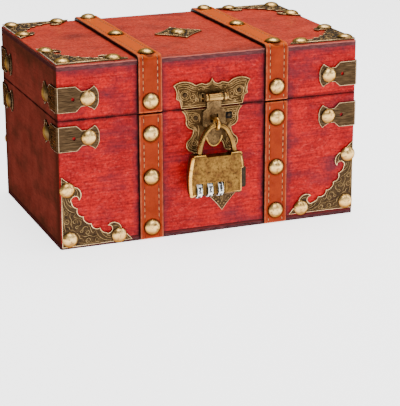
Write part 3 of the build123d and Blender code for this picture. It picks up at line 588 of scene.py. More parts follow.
def spread_tree():
    """Copies of one piece on points, each turned to its point's outward direction and tipped."""
    tree, given, out = node_tree("pieces_on_points", [
        ("Piece", "Object"), ("Tip", "Vector"), ("Least Tip", "Vector"), ("Seed", "Int"),
        ("Finish", "Material")])
    info = add(tree, "GeometryNodeObjectInfo", {"Object": given.outputs["Piece"]})
    outward = add(tree, "GeometryNodeInputNamedAttribute", {"Name": "outward"}, data_type="FLOAT_VECTOR")
    aligned = add(tree, "FunctionNodeAlignRotationToVector", {"Vector": outward.outputs[0]}, axis="Z")
    chance = add(tree, "FunctionNodeRandomValue", {
        0: given.outputs["Least Tip"], 1: given.outputs["Tip"], 8: given.outputs["Seed"]},
        data_type="FLOAT_VECTOR")
    turn = add(tree, "FunctionNodeEulerToRotation", {0: chance.outputs[0]})
    rotation = add(tree, "FunctionNodeRotateRotation", {0: aligned, 1: turn}, rotation_space="LOCAL")
    copies = add(tree, "GeometryNodeInstanceOnPoints", {
        "Points": given.outputs["Geometry"], "Instance": info.outputs["Geometry"], "Rotation": rotation})
    return close_tree(tree, copies, given, out)


def bead_tree():
    """A round bead along each line, as thick as the line's own points say."""
    tree, given, out = node_tree("beads_along_lines", [("Sides", "Int"), ("Finish", "Material")])
    line = add(tree, "GeometryNodeMeshToCurve", {"Mesh": given.outputs["Geometry"]})
    ring = add(tree, "GeometryNodeCurvePrimitiveCircle", {
        "Resolution": given.outputs["Sides"], "Radius": 1.0})
    thick = add(tree, "GeometryNodeInputNamedAttribute", {"Name": "thick"}, data_type="FLOAT")
    bead = add(tree, "GeometryNodeCurveToMesh", {
        "Curve": line, "Profile Curve": ring.outputs[0], "Scale": thick.outputs[0], "Fill Caps": True})
    return close_tree(tree, bead, given, out)


SPREAD, BEADS = spread_tree(), bead_tree()


def scattered(name, places, piece, metal, tip=(0, 0, 0), seed=1):
    """Copies of a piece on places (point, outward), each tipped and turned by up to some radians."""
    mesh = bpy.data.meshes.new("points")
    mesh.from_pydata([p * MM for p, _ in places], [], [])
    record(mesh, "outward", [v for _, outward in places for v in outward], "FLOAT_VECTOR", "vector")
    return grown(name, mesh, SPREAD, Piece=piece, Tip=tip, Least_Tip=tuple(-t for t in tip), Seed=seed,
                 Finish=metal)


def beaded(name, lines, sides, metal):
    """Beads along lines in millimetres, each (points, thickness at each point or for all, closed)."""
    points, edges, thick = [], [], []
    for line, width, closed in lines:
        start = len(points)
        points += line
        thick += width if isinstance(width, list) else [width] * len(line)
        edges += [(start + i, start + i + 1) for i in range(len(line) - 1)]
        if closed:
            edges.append((start + len(line) - 1, start))
    mesh = bpy.data.meshes.new("lines")
    mesh.from_pydata([Vector(p) * MM for p in points], edges, [])
    record(mesh, "thick", [t * MM for t in thick])
    return grown(name, mesh, BEADS, Sides=sides, Finish=metal)


def tapered(line, width):
    """Thickness along a stroke: thin at both ends and full in its middle."""
    count = len(line) - 1
    return [width * (0.45 + 0.55 * math.sin(math.pi * i / count)) for i in range(count + 1)]


def turned(name, profile, sides, wobble=0.0, metal=nail_gold):
    """A lathe-turned piece from (radius, height) steps on z; "crown" runs from 0 at its foot to 1 on top."""
    points = []
    for radius, height in profile:
        for k in range(sides):
            angle = 2 * math.pi * k / sides
            spot = Vector((radius * math.cos(angle), radius * math.sin(angle), height))
            points.append(spot + spot.normalized() * wobble * noise.noise(spot * 0.9))
    piece = shell(name, points, tube_faces(len(profile), sides), metal)
    low, high = profile[0][1], profile[-1][1]
    crown = [(height - low) / (high - low) for _, height in profile for _ in range(sides)]
    record(piece.data, "crown", crown)
    return piece


# Upholstery nails: a domed head with a rolled foot
NAIL_WIDTH, SMALL_WIDTH = 11.0, 2.6
# Each sits a little askew and is turned at random, by up to these radians about x, y and z
NAIL_TIP, PIN_TIP = (0.07, 0.07, 3.1), (0.1, 0.1, 3.1)
nail_head = turned("nail_head", [(5.25, 0.0), (5.5, 0.22), (5.42, 0.5), (5.1, 0.9), (4.5, 1.4), (3.7, 1.85),
                                 (2.7, 2.2), (1.6, 2.42), (0.6, 2.5)], 24, wobble=0.10)
small_head = turned("small_head", [(1.2, 0.0), (1.3, 0.2), (1.15, 0.45), (0.8, 0.6), (0.35, 0.5),
                                   (0.1, 0.35)], 12)
nail_places = {body: head_places(body + "_upholstery_nails", NAIL_WIDTH) for body in BODIES}
for body, places in nail_places.items():
    for label, on_side, plating in (("domed", False, nail_gold), ("side", True, nail_shaded)):
        spots = [place for place in places if bool(place[1].x) == on_side]
        heads = scattered("%s_%s_nails" % (body, label), spots, nail_head, plating, NAIL_TIP, seed=5)
        settle(heads, body, "nail_gold", body + "_upholstery_nails")
for body in BODIES:
    spots = head_places(body + "_small_nails", SMALL_WIDTH)
    pins = scattered(body + "_plate_pins", spots, small_head, bronze_ground, PIN_TIP, seed=2)
    settle(pins, body, "antique_bronze", body + "_small_nails")

# Straps: a section with pressed grooves for the stitches, from one edge to the other
STRAP_HALF, STRAP_THICK, STATION_STEP = 8.5, 2.6, 0.9
half_section = [(8.5, 0.0), (8.5, 1.25), (8.44, 1.8), (8.22, 2.22), (7.8, 2.46), (7.2, 2.54), (6.5, 2.52),
                (5.9, 2.42), (5.5, 2.20), (5.2, 2.14), (4.9, 2.20), (4.5, 2.42), (3.9, 2.48), (3.1, 2.5),
                (2.3, 2.5), (1.5, 2.5), (0.75, 2.5)]
section = half_section + [(0.0, 2.5)] + [(-a, r) for a, r in reversed(half_section)]
STITCH_ACROSS, STITCH_RISE, HOLE_RISE, NAIL_CLEAR, THREAD_WIDTH = 5.2, 2.2, 2.12, 7.2, 0.24
# Stations in one stitch and its gap, in the stitch alone, and before the needle hole
STITCH_STEPS, DASH_STEPS, HOLE_STEP = 5, 4, 4
# Only points above this height give way
SOFT_FROM = 1.5
# A nail presses the leather down round its rim, and raises a ridge about it
PRESS_REACH, PRESS_FADE, PRESS_DEPTH = 5.7, 0.7, 0.35
RIDGE_REACH, RIDGE_WIDTH, RIDGE_RISE, NAIL_REACH = 7.0, 0.5, 0.16, 9
# The cut ends drop a little and are paler for a length, a painted highlight, and the whole strap waves
END_SOFT, END_DROP, END_PALE_LENGTH = 0.8, 0.45, 6.0
WAVE_RISE, WAVE_RATE = 0.05, 0.16


def straight_run(start, end, outward):
    """Stations (point, outward) from start to end in the strap's own plane."""
    start, end = Vector(start), Vector(end)
    count = max(2, round((end - start).length / STATION_STEP))
    return [(start.lerp(end, i / count), Vector(outward)) for i in range(count + 1)]


def round_bend(centre, radius, first, last, count=7):
    """Stations round an edge from one angle to another, both in degrees in the (y, z) plane."""
    angles = [math.radians(first + (last - first) * i / count) for i in range(count + 1)]
    ways = [Vector((0, math.cos(angle), math.sin(angle))) for angle in angles]
    return [(Vector(centre) + outward * radius, outward) for outward in ways]


def strap(node, x, stations, body):
    """A sewn leather strap over its stations, pressed down by the nails that hold it."""
    nails = [(c, o) for c, o in nail_places[body] if abs(c.x - x) < STRAP_HALF]
    points, rise, across, dips = [], [], [], []
    lengths = [0.0]
    for (p, _), (q, _) in zip(stations, stations[1:]):
        lengths.append(lengths[-1] + (q - p).length)
    for (foot, outward), along in zip(stations, lengths):
        end = min(along, lengths[-1] - along)
        for side, height in section:
            spot = foot + Vector((x + side, 0, 0))
            dip = 0.0
            for centre, nail_out in nails:
                offset = spot - centre
                reach = (offset - nail_out * offset.dot(nail_out)).length
                if outward.dot(nail_out) > 0.6 and reach < NAIL_REACH:
                    dip = max(dip, 1.0 - max(0.0, reach - PRESS_REACH) / PRESS_FADE)
                    if height > SOFT_FROM:
                        height += RIDGE_RISE * math.exp(-((reach - RIDGE_REACH) / RIDGE_WIDTH) ** 2)
            rise.append(height / STRAP_THICK)
            if height > SOFT_FROM:
                height -= PRESS_DEPTH * dip
                height -= END_DROP * max(0.0, 1 - end / END_SOFT) ** 2
                height += WAVE_RISE * noise.noise(spot * WAVE_RATE)
            points.append(spot + outward * height)
            across.append(max(abs(side) / STRAP_HALF, 1.0 - end / END_PALE_LENGTH))
            dips.append(dip * 0.8)
    piece = shell(node + "_leather", points, tube_faces(len(stations), len(section)), leather)
    for label, values in (("rise", rise), ("across", across), ("dip", dips)):
        record(piece.data, label, values)
    settle(piece, body, "strap_leather", node)
    dashes, holes = [[]], []
    for side in (-STITCH_ACROSS, STITCH_ACROSS):
        for step, (foot, outward) in enumerate(stations[2:-2]):
            spot = foot + outward * STITCH_RISE + Vector((x + side, 0, 0))
            free = all((spot - centre).length > NAIL_CLEAR for centre, _ in nails)
            turn = step % STITCH_STEPS
            if free and turn < DASH_STEPS:
                dashes[-1].append(spot)
            elif dashes[-1]:
                dashes.append([])
            if free and turn == HOLE_STEP:
                holes.append((spot + outward * (HOLE_RISE - STITCH_RISE), outward))
        dashes.append([])
    stitch_lines[body] += [(dash, tapered(dash, THREAD_WIDTH), False) for dash in dashes if len(dash) > 2]
    stitch_holes[body] += holes


stitch_lines, stitch_holes = {body: [] for body in BODIES}, {body: [] for body in BODIES}
edge_y, edge_z = HALF_Y - EDGE_ROUND, TOP - EDGE_ROUND
for side, (low, high) in zip(("left", "right"), STRAP_BOXES):
    x = (low.x + high.x) / 2
    for end, y in (("front", -HALF_Y), ("back", HALF_Y)):
        node = "base_strap_%s_%s" % (end, side)
        low, high = node_box(node)
        strap(node, x, straight_run((0, y, low.z), (0, y, high.z), (0, math.copysign(1, y), 0)), "base")
    node = "lid_strap_" + side
    low = node_box(node)[0].z
    run = straight_run((0, -HALF_Y, low), (0, -HALF_Y, edge_z), (0, -1, 0))
    run += round_bend((0, -edge_y, edge_z), EDGE_ROUND, 180, 90)[1:]
    run += straight_run((0, -edge_y, TOP), (0, edge_y, TOP), (0, 0, 1))[1:]
    run += round_bend((0, edge_y, edge_z), EDGE_ROUND, 90, 0)[1:]
    run += straight_run((0, HALF_Y, edge_z), (0, HALF_Y, low), (0, 1, 0))[1:]
    strap(node, x, run, "lid")
needle_dot = turned("needle_dot", [(0.5, 0.0), (0.44, 0.06), (0.12, 0.08)], 8)
for body in BODIES:
    settle(beaded(body + "_strap_stitching", stitch_lines[body], 6, thread), body, "strap_leather")
    dots = scattered(body + "_needle_holes", stitch_holes[body], needle_dot, needle_hole)
    settle(dots, body, "strap_leather")


# Relief on the metal plates
def smooth_line(points, steps=6):
    """A smooth line through (x, y) points."""
    points = [Vector(p) for p in points]
    points = [2 * points[0] - points[1]] + points + [2 * points[-1] - points[-2]]
    line = []
    for a, b, c, d in zip(points, points[1:], points[2:], points[3:]):
        for i in range(steps):
            t = i / steps
            line.append(0.5 * (2 * b + (c - a) * t + (2 * a - 5 * b + 4 * c - d) * t ** 2
                               + (3 * b - a - 3 * c + d) * t ** 3))
    return line + [points[-2]]


def curl(x, y, outer, inner, start, turns):
    """A spiral from its outer to its inner radius; start is in degrees."""
    count = max(8, round(abs(turns) * 16))
    line = []
    for i in range(count + 1):
        radius = outer + (inner - outer) * i / count
        angle = math.radians(start) + 2 * math.pi * turns * i / count
        line.append(Vector((x + radius * math.cos(angle), y + radius * math.sin(angle))))
    return line


def drawn(*strokes):
    """Lines from strokes: a list of points is a smooth line, and a tuple holds a curl's own values."""
    return [curl(*stroke) if isinstance(stroke, tuple) else smooth_line(stroke) for stroke in strokes]


def stroked(strokes, matrix, height, width, flips):
    """Beads for strokes on a face, repeated through each flip of (x, y)."""
    return [([matrix @ Vector((*flip(p), height)) for p in stroke], tapered(stroke, width), False)
            for flip in flips for stroke in strokes]


def rim_lines(node, on_top, width, least=12.0):
    """Closed beads along the edges of a plate's outer surface."""
    work = welded(frame["nodes"][node].data)
    top = {f for f in work.faces if all(on_top(v.co / MM) for v in f.verts)}
    edges = dict.fromkeys(e for e in work.edges if sum(f in top for f in e.link_faces) == 1)
    lines = []
    while edges:
        first, here = edges.popitem()[0].verts
        loop = [first, here]
        while here != first:
            step = next((e for e in here.link_edges if e in edges), None)
            if step is None:
                break
            del edges[step]
            here = step.other_vert(here)
            loop.append(here)
        loop = [v.co / MM for v in loop[:-1]]
        if sum((a - b).length for a, b in zip(loop, loop[1:] + loop[:1])) > least:
            lines.append((loop, width, True))
    work.free()
    return lines


# How far a point may be off a bent or flat face that it belongs to
BENT_SLACK, FLAT_SLACK = 0.12, 0.05


def outside_by(amount):
    """A test for points that stand off the box by that amount, round its upright edges too."""
    def test(p):
        x = max(0.0, abs(p.x) - (HALF_X - EDGE_ROUND))
        y = max(0.0, abs(p.y) - (HALF_Y - EDGE_ROUND))
        return abs(math.hypot(x, y) - EDGE_ROUND - amount) < BENT_SLACK
    return test


def above_by(amount):
    return lambda p: abs(p.z - TOP - amount) < FLAT_SLACK


# Wraps' rims are drawn thinner on the ends of the box, a painted shade there, and a painted highlight line
# runs down their bends a little off the middle
SHADED_END_RIM_SHARE, END_NEAR, BEND_HIGHLIGHT_TURN, BEND_LINE_STEPS = 0.2, 0.3, math.radians(25), 6


def wrap_lines(node):
    """A corner wrap's rims, and a painted highlight line down its bend, a little to the front or back of it.
    """
    lines = []
    for loop, width, closed in rim_lines(node, outside_by(WRAP_THICK), width=0.27):
        thick = [width * (SHADED_END_RIM_SHARE if abs(p.x) > HALF_X - END_NEAR else 1.0) for p in loop]
        lines.append((loop, thick, closed))
    low, high = node_box(node)
    radius = EDGE_ROUND + WRAP_THICK
    x = math.copysign(1, low.x + high.x) * (HALF_X - EDGE_ROUND + radius * math.sin(BEND_HIGHLIGHT_TURN))
    y = math.copysign(1, low.y + high.y) * (HALF_Y - EDGE_ROUND + radius * math.cos(BEND_HIGHLIGHT_TURN))
    bend = [Vector((x, y, low.z + (high.z - low.z) * i / BEND_LINE_STEPS)) for i in range(BEND_LINE_STEPS + 1)]
    return lines + [(bend, 0.2, False)]


ENDS = [e + "_" + s for e in ("front", "back") for s in ("left", "right")]
WRAP_THICK, CORNER_THICK, DIAMOND_THICK, LATCH_THICK = 1.0, 0.9, 0.8, 1.2
rims, wrap_rims, reliefs = [{body: [] for body in BODIES} for _ in range(3)]
for tag in ENDS:
    for body in BODIES:
        wrap_rims[body] += wrap_lines("%s_corner_wrap_%s" % (body, tag))
    rims["base"] += rim_lines("base_corner_plate_" + tag, outside_by(CORNER_THICK), width=0.33)
    rims["lid"] += rim_lines("lid_corner_plate_" + tag, above_by(CORNER_THICK), width=0.26)
wrap_rims["base"] += rim_lines("front_diamond_plate", outside_by(DIAMOND_THICK), width=0.26)
rims["lid"] += rim_lines("top_diamond_plate", above_by(DIAMOND_THICK), width=0.36)
for body in BODIES:
    for label, lines, metal in (("bright", rims[body], cream_rim), ("wrap", wrap_rims[body], wrap_rim)):
        settle(beaded("%s_%s_rims" % (body, label), lines, 8, metal), body, "antique_bronze")

# Scrolls on a corner plate, from its own corner, drawn on both of its legs
corner_strokes = drawn(
    [(1.5, 35), (2, 31), (3.4, 28), (5.6, 25.6), (8.9, 24)],
    [(2.9, 35), (3.8, 31.6), (5.8, 29.2), (8.6, 27.4)],
    [(4.4, 34.4), (5.2, 32.4), (6.2, 31.2)], (3.2, 24.6, 2, 0.6, 60, 1.4), (3.3, 18.4, 2.3, 0.7, 100, 1.5),
    [(1.2, 28.4), (1.4, 24), (1.2, 20), (1.5, 15), (2.4, 11.6)],
    [(5.8, 24.4), (5.6, 21.6), (6.6, 19), (6.2, 16.2), (7.2, 13.4)], (9, 17.6, 1.9, 0.6, -40, 1.3),
    [(9.6, 23.4), (8.4, 21.6), (9.8, 20.4), (12.4, 19.8), (14, 18.6)],
    [(11.6, 18.4), (13.2, 17.2), (12.8, 15), (11.4, 14.4)],
    [(3.2, 14.6), (4.8, 14.2), (5.4, 12.4), (7.6, 12.2)],
    (10.4, 13.4, 1.3, 0.5, 10, 1.2), [(7.2, 43.4), (9.6, 41.4), (11.2, 38.8), (11.4, 35.4)],
    [(1.2, 46.8), (2.6, 45.9), (4.2, 46)], [(5.2, 11.8), (7.6, 11.5), (9.6, 9.9)])


def corner_flips(x, y, right, up):
    """Places of (x, y) from a corner at x and y, and with the two exchanged; right and up are 1 or -1."""
    return [lambda p: (x + right * p[0], y + up * p[1]), lambda p: (x + right * p[1], y + up * p[0])]


CORNER_INSET = 1.0
corner_x, corner_y = HALF_X - CORNER_INSET, HALF_Y - CORNER_INSET
for side_x in (-1, 1):
    for side_y, face, end in ((-1, FRONT, "front"), (1, BACK, "back")):
        across = -side_x * side_y
        foot = node_box("base_corner_plate_%s_%s" % (end, "left" if side_x < 0 else "right"))[0].z
        flips = corner_flips(across * corner_x, foot, -across, 1)
        reliefs["base"] += stroked(corner_strokes, face, CORNER_THICK, 0.31, flips)
        flips = corner_flips(side_x * corner_x, side_y * corner_y, -side_x, -side_y)
        reliefs["lid"] += stroked(corner_strokes, ABOVE, CORNER_THICK, 0.26, flips)

# Diamonds: rays from the nail out to a row of small beads, drawn in a quarter
diamond_strokes = drawn(
    [(6.3, 0), (9, 0.7), (12.5, 0)], [(6.3, 0), (9, -0.7), (12.5, 0)], (5.6, 5.6, 1.3, 0.4, 45, 1),
    [(9.6, 2.2), (7.8, 3.4), (7.4, 5.4)], [(2.2, 9.6), (3.4, 7.8), (5.4, 7.4)])
DIAMOND_REACH, BEAD_COUNT, BEAD_INSET = 15.2, 9, 0.35
bead_row = []
for i in range(BEAD_COUNT):
    step, inset = DIAMOND_REACH * i / BEAD_COUNT, BEAD_INSET if i else 0.0
    bead_row.append(Vector((DIAMOND_REACH - step - inset, step - inset)))
bead_ball = turned("bead_ball", [(0.45, 0.0), (0.5, 0.25), (0.36, 0.48), (0.12, 0.56)], 8)


def quarter_turns(x, y):
    return [lambda p: (x + p[0], y + p[1]), lambda p: (x - p[1], y + p[0]), lambda p: (x - p[0], y - p[1]),
            lambda p: (x + p[1], y - p[0])]


front_middle, top_middle = node_centre("front_diamond_plate"), node_centre("top_diamond_plate")
diamonds = (("base", FRONT, quarter_turns(front_middle.x, front_middle.z), 0.2, bronze_rib),
            ("lid", ABOVE, quarter_turns(top_middle.x, top_middle.y), 0.32, latch_line))
for body, matrix, quarters, width, metal in diamonds:
    reliefs[body] += stroked(diamond_strokes, matrix, DIAMOND_THICK, width, quarters)
    settle(beaded(body + "_scroll_relief", reliefs[body], 6, metal), body, "antique_bronze")
for body, matrix, quarters, _, _ in diamonds:
    outward = matrix.to_3x3() @ Vector((0, 0, 1))
    places = [(matrix @ Vector((*turn(p), DIAMOND_THICK)), outward) for turn in quarters for p in bead_row]
    settle(scattered(body + "_diamond_beading", places, bead_ball, latch_line), body, "antique_bronze")

# Butterfly latch: scrolls and rings round its pins, on its right half and from the lid's joint
upper_strokes = drawn(
    (20, 10.2, 2.2, 2.2, 0, 1), (20, 10.2, 3.9, 2.9, 200, 0.8),
    [(25.6, 16), (22, 16.6), (17.6, 15.6), (14, 13.8), (11.4, 13.6)],
    [(25, 14), (24.2, 11), (24.8, 8.4), (22.4, 6), (21.6, 3)], (14.4, 8.2, 2.6, 0.7, 80, 1.5),
    [(10.8, 11.4), (11.2, 8.4), (12.4, 5), (15.6, 3.4), (19.6, 4.4)], [(19.8, 2.2), (15, 1.9), (10.8, 2.4)],
    [(9.6, 15.4), (7, 15), (4.6, 13.6), (2, 13.2)], [(0, 18), (1.6, 16.2), (3.6, 15.4)],
    (6.6, 13.2, 1.1, 0.4, 0, 1.2), [(17, 12.6), (16, 10.8), (17.2, 8.4), (19.4, 7)],
    (20, 10.2, 3.1, 3.1, -30, 0.6), [(24.2, 14.6), (21, 15), (17.6, 14.2), (14.6, 12.4), (12, 12)],
    [(23.6, 12.6), (23.2, 9.6), (23.4, 7.2), (21.4, 4.8)], (11.2, 6.4, 1.6, 0.5, 200, 1.3),
    [(9.2, 10.8), (9.6, 7.4), (10.4, 4.4)], [(13.6, 4), (14.4, 5.4), (16.6, 5.8), (18.6, 5.2)],
    [(8.4, 13.8), (9.8, 12.8), (10.6, 14.2)], [(2.4, 15), (4.2, 14.8), (5.4, 14.2)],
    (16.8, 3.4, 1, 0.4, 90, 1), [(25.4, 12.6), (25.2, 10.4)], [(11, 14.8), (14.2, 15), (16.6, 16.4)])
lower_strokes = drawn(
    (12.2, -6.6, 2.2, 2.2, 0, 1), (16.4, -6, 1.7, 0.6, 60, 1.2), [(20.4, -2.6), (16, -2.4), (10.8, -2.6)],
    [(18.6, -3.8), (18, -7), (16.4, -9.6), (12.8, -10.6)],
    [(16.2, -10.8), (12.6, -13), (11.2, -16.4), (12.6, -20), (15.2, -23.6)],
    (13.4, -24.2, 2.5, 0.7, 100, 1.5), [(10.6, -11.8), (9.8, -15), (10.2, -18.4), (10.6, -21.6)],
    [(16.2, -27.2), (14, -29), (11.4, -28.6)], (12.4, -15.4, 1, 0.4, 0, 1), (12.2, -6.6, 3.1, 3.1, 20, 0.55),
    [(19, -3.2), (17.2, -4), (15.6, -3.6), (14, -4)], [(17.2, -8.6), (15.6, -8.2), (14.6, -9.4)],
    [(9.4, -4), (9, -7), (9.4, -10)], [(14.4, -13), (13, -14.2), (13.4, -16.6), (14.2, -19)],
    (14.6, -20.6, 1.2, 0.4, 60, 1.2), [(10.8, -23), (10.6, -25.6), (11.6, -27.4)],
    [(15.8, -24.8), (15.6, -26.4), (14.4, -27.6)])
RIM_INSET, TIGHT_SHARE = 1.5, 0.93


def inner_lines(loops, width):
    """Open lines that follow closed loops on the front a little inside them, left out in tight corners."""
    lines = []
    for loop, _, _ in loops:
        flat = [Vector((p.x, p.z)) for p in loop]
        area = sum(a.x * b.y - b.x * a.y for a, b in zip(flat, flat[1:] + flat[:1]))
        inset = math.copysign(RIM_INSET, area)
        run = []
        for i, (before, here, after) in enumerate(zip(flat[-1:] + flat[:-1], flat, flat[1:] + flat[:1])):
            along = (after - before).normalized()
            spot = here + Vector((-along.y, along.x)) * inset
            if min((spot - p).length for p in flat) > TIGHT_SHARE * RIM_INSET:
                run.append(Vector((spot.x, loop[i].y, spot.y)))
            elif run:
                lines.append((run, width, False))
                run = []
        lines.append((run, width, False))
    return [line for line in lines if len(line[0]) > 3]


mirrored = [lambda p: (p[0], SEAM + p[1]), lambda p: (-p[0], SEAM + p[1])]
for body, node, strokes in (("lid", "latch_upper_plate", upper_strokes),
                            ("base", "latch_lower_plate", lower_strokes)):
    outline = rim_lines(node, outside_by(LATCH_THICK), width=0.42)
    settle(beaded(body + "_latch_rim", outline, 6, latch_rim), body, "antique_bronze")
    lines = inner_lines(outline, width=0.24) + stroked(strokes, FRONT, LATCH_THICK, 0.28, mirrored)
    settle(beaded(body + "_latch_relief", lines, 6, latch_line), body, "antique_bronze")

# End caps of the hasp's barrel, which sits a little to the right of its leaf
BARREL_SHIFT = 1.3
knuckle_low, knuckle_high = node_box("hasp_pin")
AXIS_Y, AXIS_Z = (knuckle_low.y + knuckle_high.y) / 2, (knuckle_low.z + knuckle_high.z) / 2
cap = turned("barrel_cap", [(2.84, -2.1), (2.9, -1.9), (2.9, -0.9), (2.84, -0.75), (2.3, -0.7), (2.3, -0.35),
                            (2.7, -0.3), (2.75, 0.2), (2.3, 0.6), (1.3, 1.2), (0.5, 1.9), (0.2, 2.0)], 24)
ends = [(Vector((corner.x + BARREL_SHIFT, AXIS_Y, AXIS_Z)), Vector((math.copysign(1, corner.x), 0, 0)))
        for corner in (knuckle_high, knuckle_low)]
settle(scattered("barrel_end_caps", ends, cap, turned_brass), "lid", "antique_bronze")
for piece in (nail_head, small_head, needle_dot, bead_ball, cap):
    bpy.data.objects.remove(piece)


# Hasp: a pressed leaf without the frame's slit, a barrel and a rolled tip
def pressed_plate(name, loops, low, high, soft, material):
    """A flat plate with softened edges from closed loops in a face's own millimetres."""
    curve = bpy.data.curves.new(name, "CURVE")
    curve.dimensions, curve.fill_mode = "2D", "BOTH"
    curve.extrude, curve.bevel_depth, curve.bevel_resolution = (high - low) / 2 - soft, soft, 2
    curve.offset = -soft
    for loop in loops:
        spline = curve.splines.new("POLY")
        spline.points.add(len(loop) - 1)
        for spot, (x, y) in zip(spline.points, loop):
            spot.co = (x, y, 0, 1)
        spline.use_cyclic_u = True
    mesh = baked(made(name, curve))
    place = FRONT @ Matrix.Translation((0, 0, (low + high) / 2))
    points = [place @ v.co for v in mesh.vertices]
    return shell(name, points, [tuple(p.vertices) for p in mesh.polygons], material, smooth=False)


HASP_BACK, HASP_FRONT, LEAF_SHIFT, LEAF_SOFT, LIP_SINK, TIP_STEPS = 1.7, 2.9, 0.9, 0.22, 0.2, 8
NECK_HALF, LEAF_HALF, TIP_HALF = 5.3, 8.4, 5.75
SLOT_HALF, SLOT_DEEP, SLOT_NEAR = 3.0, 18.0, 12.5
DROP = AXIS_Z - node_box("hasp")[0].z
edge_right = [(half, AXIS_Z - fall) for half, fall in (
    (NECK_HALF, 1.4), (NECK_HALF, 0.225 * DROP), (LEAF_HALF, 0.29 * DROP), (LEAF_HALF, 0.575 * DROP),
    (TIP_HALF, 0.60 * DROP))]
tip_right = [(TIP_HALF * math.cos(a), AXIS_Z - 0.80 * DROP - 0.2 * DROP * math.sin(a) ** 1.4)
             for a in [math.pi / 2 * i / TIP_STEPS for i in range(TIP_STEPS)]]
lowest = (0.0, AXIS_Z - DROP)
outline = edge_right + tip_right + [lowest] + [(-x, z) for x, z in reversed(edge_right + tip_right)]
slot = [(x, AXIS_Z - fall) for x, fall in (
    (-SLOT_HALF, SLOT_DEEP), (SLOT_HALF, SLOT_DEEP), (SLOT_HALF, SLOT_NEAR), (-SLOT_HALF, SLOT_NEAR))]
to_right = Matrix.Translation((LEAF_SHIFT * MM, 0, 0))
leaf = pressed_plate("hasp_pressed_leaf", [outline, slot], HASP_BACK, HASP_FRONT, LEAF_SOFT, hasp_brass)
leaf.data.transform(to_right)
settle(leaf, "hasp", "antique_bronze", "hasp")
barrel_half = [(2.0, -5.4), (2.62, -5.4), (2.8, -5.1), (2.8, -3.0)]
barrel_steps = barrel_half + [(2.8, 0.0)] + [(radius, -height) for radius, height in reversed(barrel_half)]
barrel = turned("hasp_barrel", barrel_steps, 28, metal=turned_brass)
barrel.data.transform(Matrix.Translation(Vector((BARREL_SHIFT, AXIS_Y, AXIS_Z)) * MM)
                      @ Matrix.Rotation(math.pi / 2, 4, "Y"))
settle(barrel, "hasp", "antique_bronze")
lip = [FRONT @ Vector((x, z, HASP_FRONT - LIP_SINK))
       for x, z in [(-x, z) for x, z in tip_right] + [lowest] + tip_right[::-1]]
# The rolled tip in the lighter plating: a painted highlight
rolled = beaded("hasp_rolled_tip", [(lip, 0.5, False)], 8, lock_highlight)
rolled.data.transform(to_right)
settle(rolled, "hasp", "antique_bronze")

# The padlock's rolled front edge in the lighter plating, a painted highlight, broadest down its left side
# and thin round its dials and shoulders
LEFT_EDGE, WINDOW_EDGE, SHOULDER_EDGE, PLAIN_EDGE, LEFT_BULGE, EDGE_SINK = 1.35, 0.2, 0.12, 0.36, 1.4, 0.25
SHOULDER_X, SHOULDER_DEPTH = 9.5, 2.3
lock_low, lock_high = node_box("lock_front_shell")
window_left, window_right = node_box("dial_1")[0].x - 1, node_box("dial_3")[1].x + 1
window_top = node_box("dial_1")[1].z + 2


def edge_width(p):
    """How thick the padlock's edge is at a point of its front face."""
    if p.x < window_left:
        return LEFT_EDGE
    if p.x < window_right and p.z < window_top:
        return WINDOW_EDGE
    return SHOULDER_EDGE if abs(p.x) > SHOULDER_X and p.z > lock_high.z - SHOULDER_DEPTH else PLAIN_EDGE


edge_lines = []
face_loops = rim_lines("lock_front_shell", lambda p: abs(p.y - lock_low.y) < FLAT_SLACK, 0.0, least=60.0)
for loop, _, closed in face_loops:
    thick = [edge_width(p) for p in loop]
    spots = [p - Vector((LEFT_BULGE * (t == LEFT_EDGE), 0, 0)) for p, t in zip(loop, thick)]
    edge_lines.append((spots, thick, closed))
# Bright front edges of the two shoulders beside the lowered middle, a painted highlight: (x, fall from the
# top)
shoulder, SHOULDER_BACK = [(9.5, 1.7), (9.8, 0.45), (16.2, 0.45), (17.2, 1.7)], 0.6
for side, slide in ((1, 0.0), (-1, -1.2)):
    spots = [Vector((side * x + slide * (x > 10), lock_low.y + SHOULDER_BACK, lock_high.z - fall))
             for x, fall in shoulder]
    edge_lines.append((spots, 0.45, False))
lock_rim = beaded("padlock_rolled_edge", edge_lines, 8, lock_highlight)
lock_rim.data.transform(Matrix.Translation((0, EDGE_SINK * MM, 0)))
settle(lock_rim, "lock_body", "padlock_brass")

# The shackle's wire, a little fuller than its frame
WIRE_GAIN = 0.45
wire = frame["nodes"]["shackle"].data.copy()
wire.name = "shackle_wire"
work = welded(wire)
work.normal_update()
for spot, normal in [(v, v.normal.copy()) for v in work.verts]:
    spot.co += normal * WIRE_GAIN * MM
work.to_mesh(wire)
work.free()
wire.polygons.foreach_set("use_smooth", [True] * len(wire.polygons))
wire.materials.clear()
wire.materials.append(wire_brass)
settle(made("shackle_wire", wire), "shackle", "padlock_brass", "shackle")

# Padlock dials: fluted wheels with numbers
DIAL_SIDE_GAP, DIAL_ROUND_GAP, FLUTES, FLUTE_STEPS, FLUTE_DEPTH = 0.35, 0.25, 10, 6, 0.45
WHEEL_RIM, HUB_SHARE = 0.25, 0.86
NUMBER_SIZE, NUMBER_RISE, NUMBER_SWELL = 3.5, 0.06, 0.40


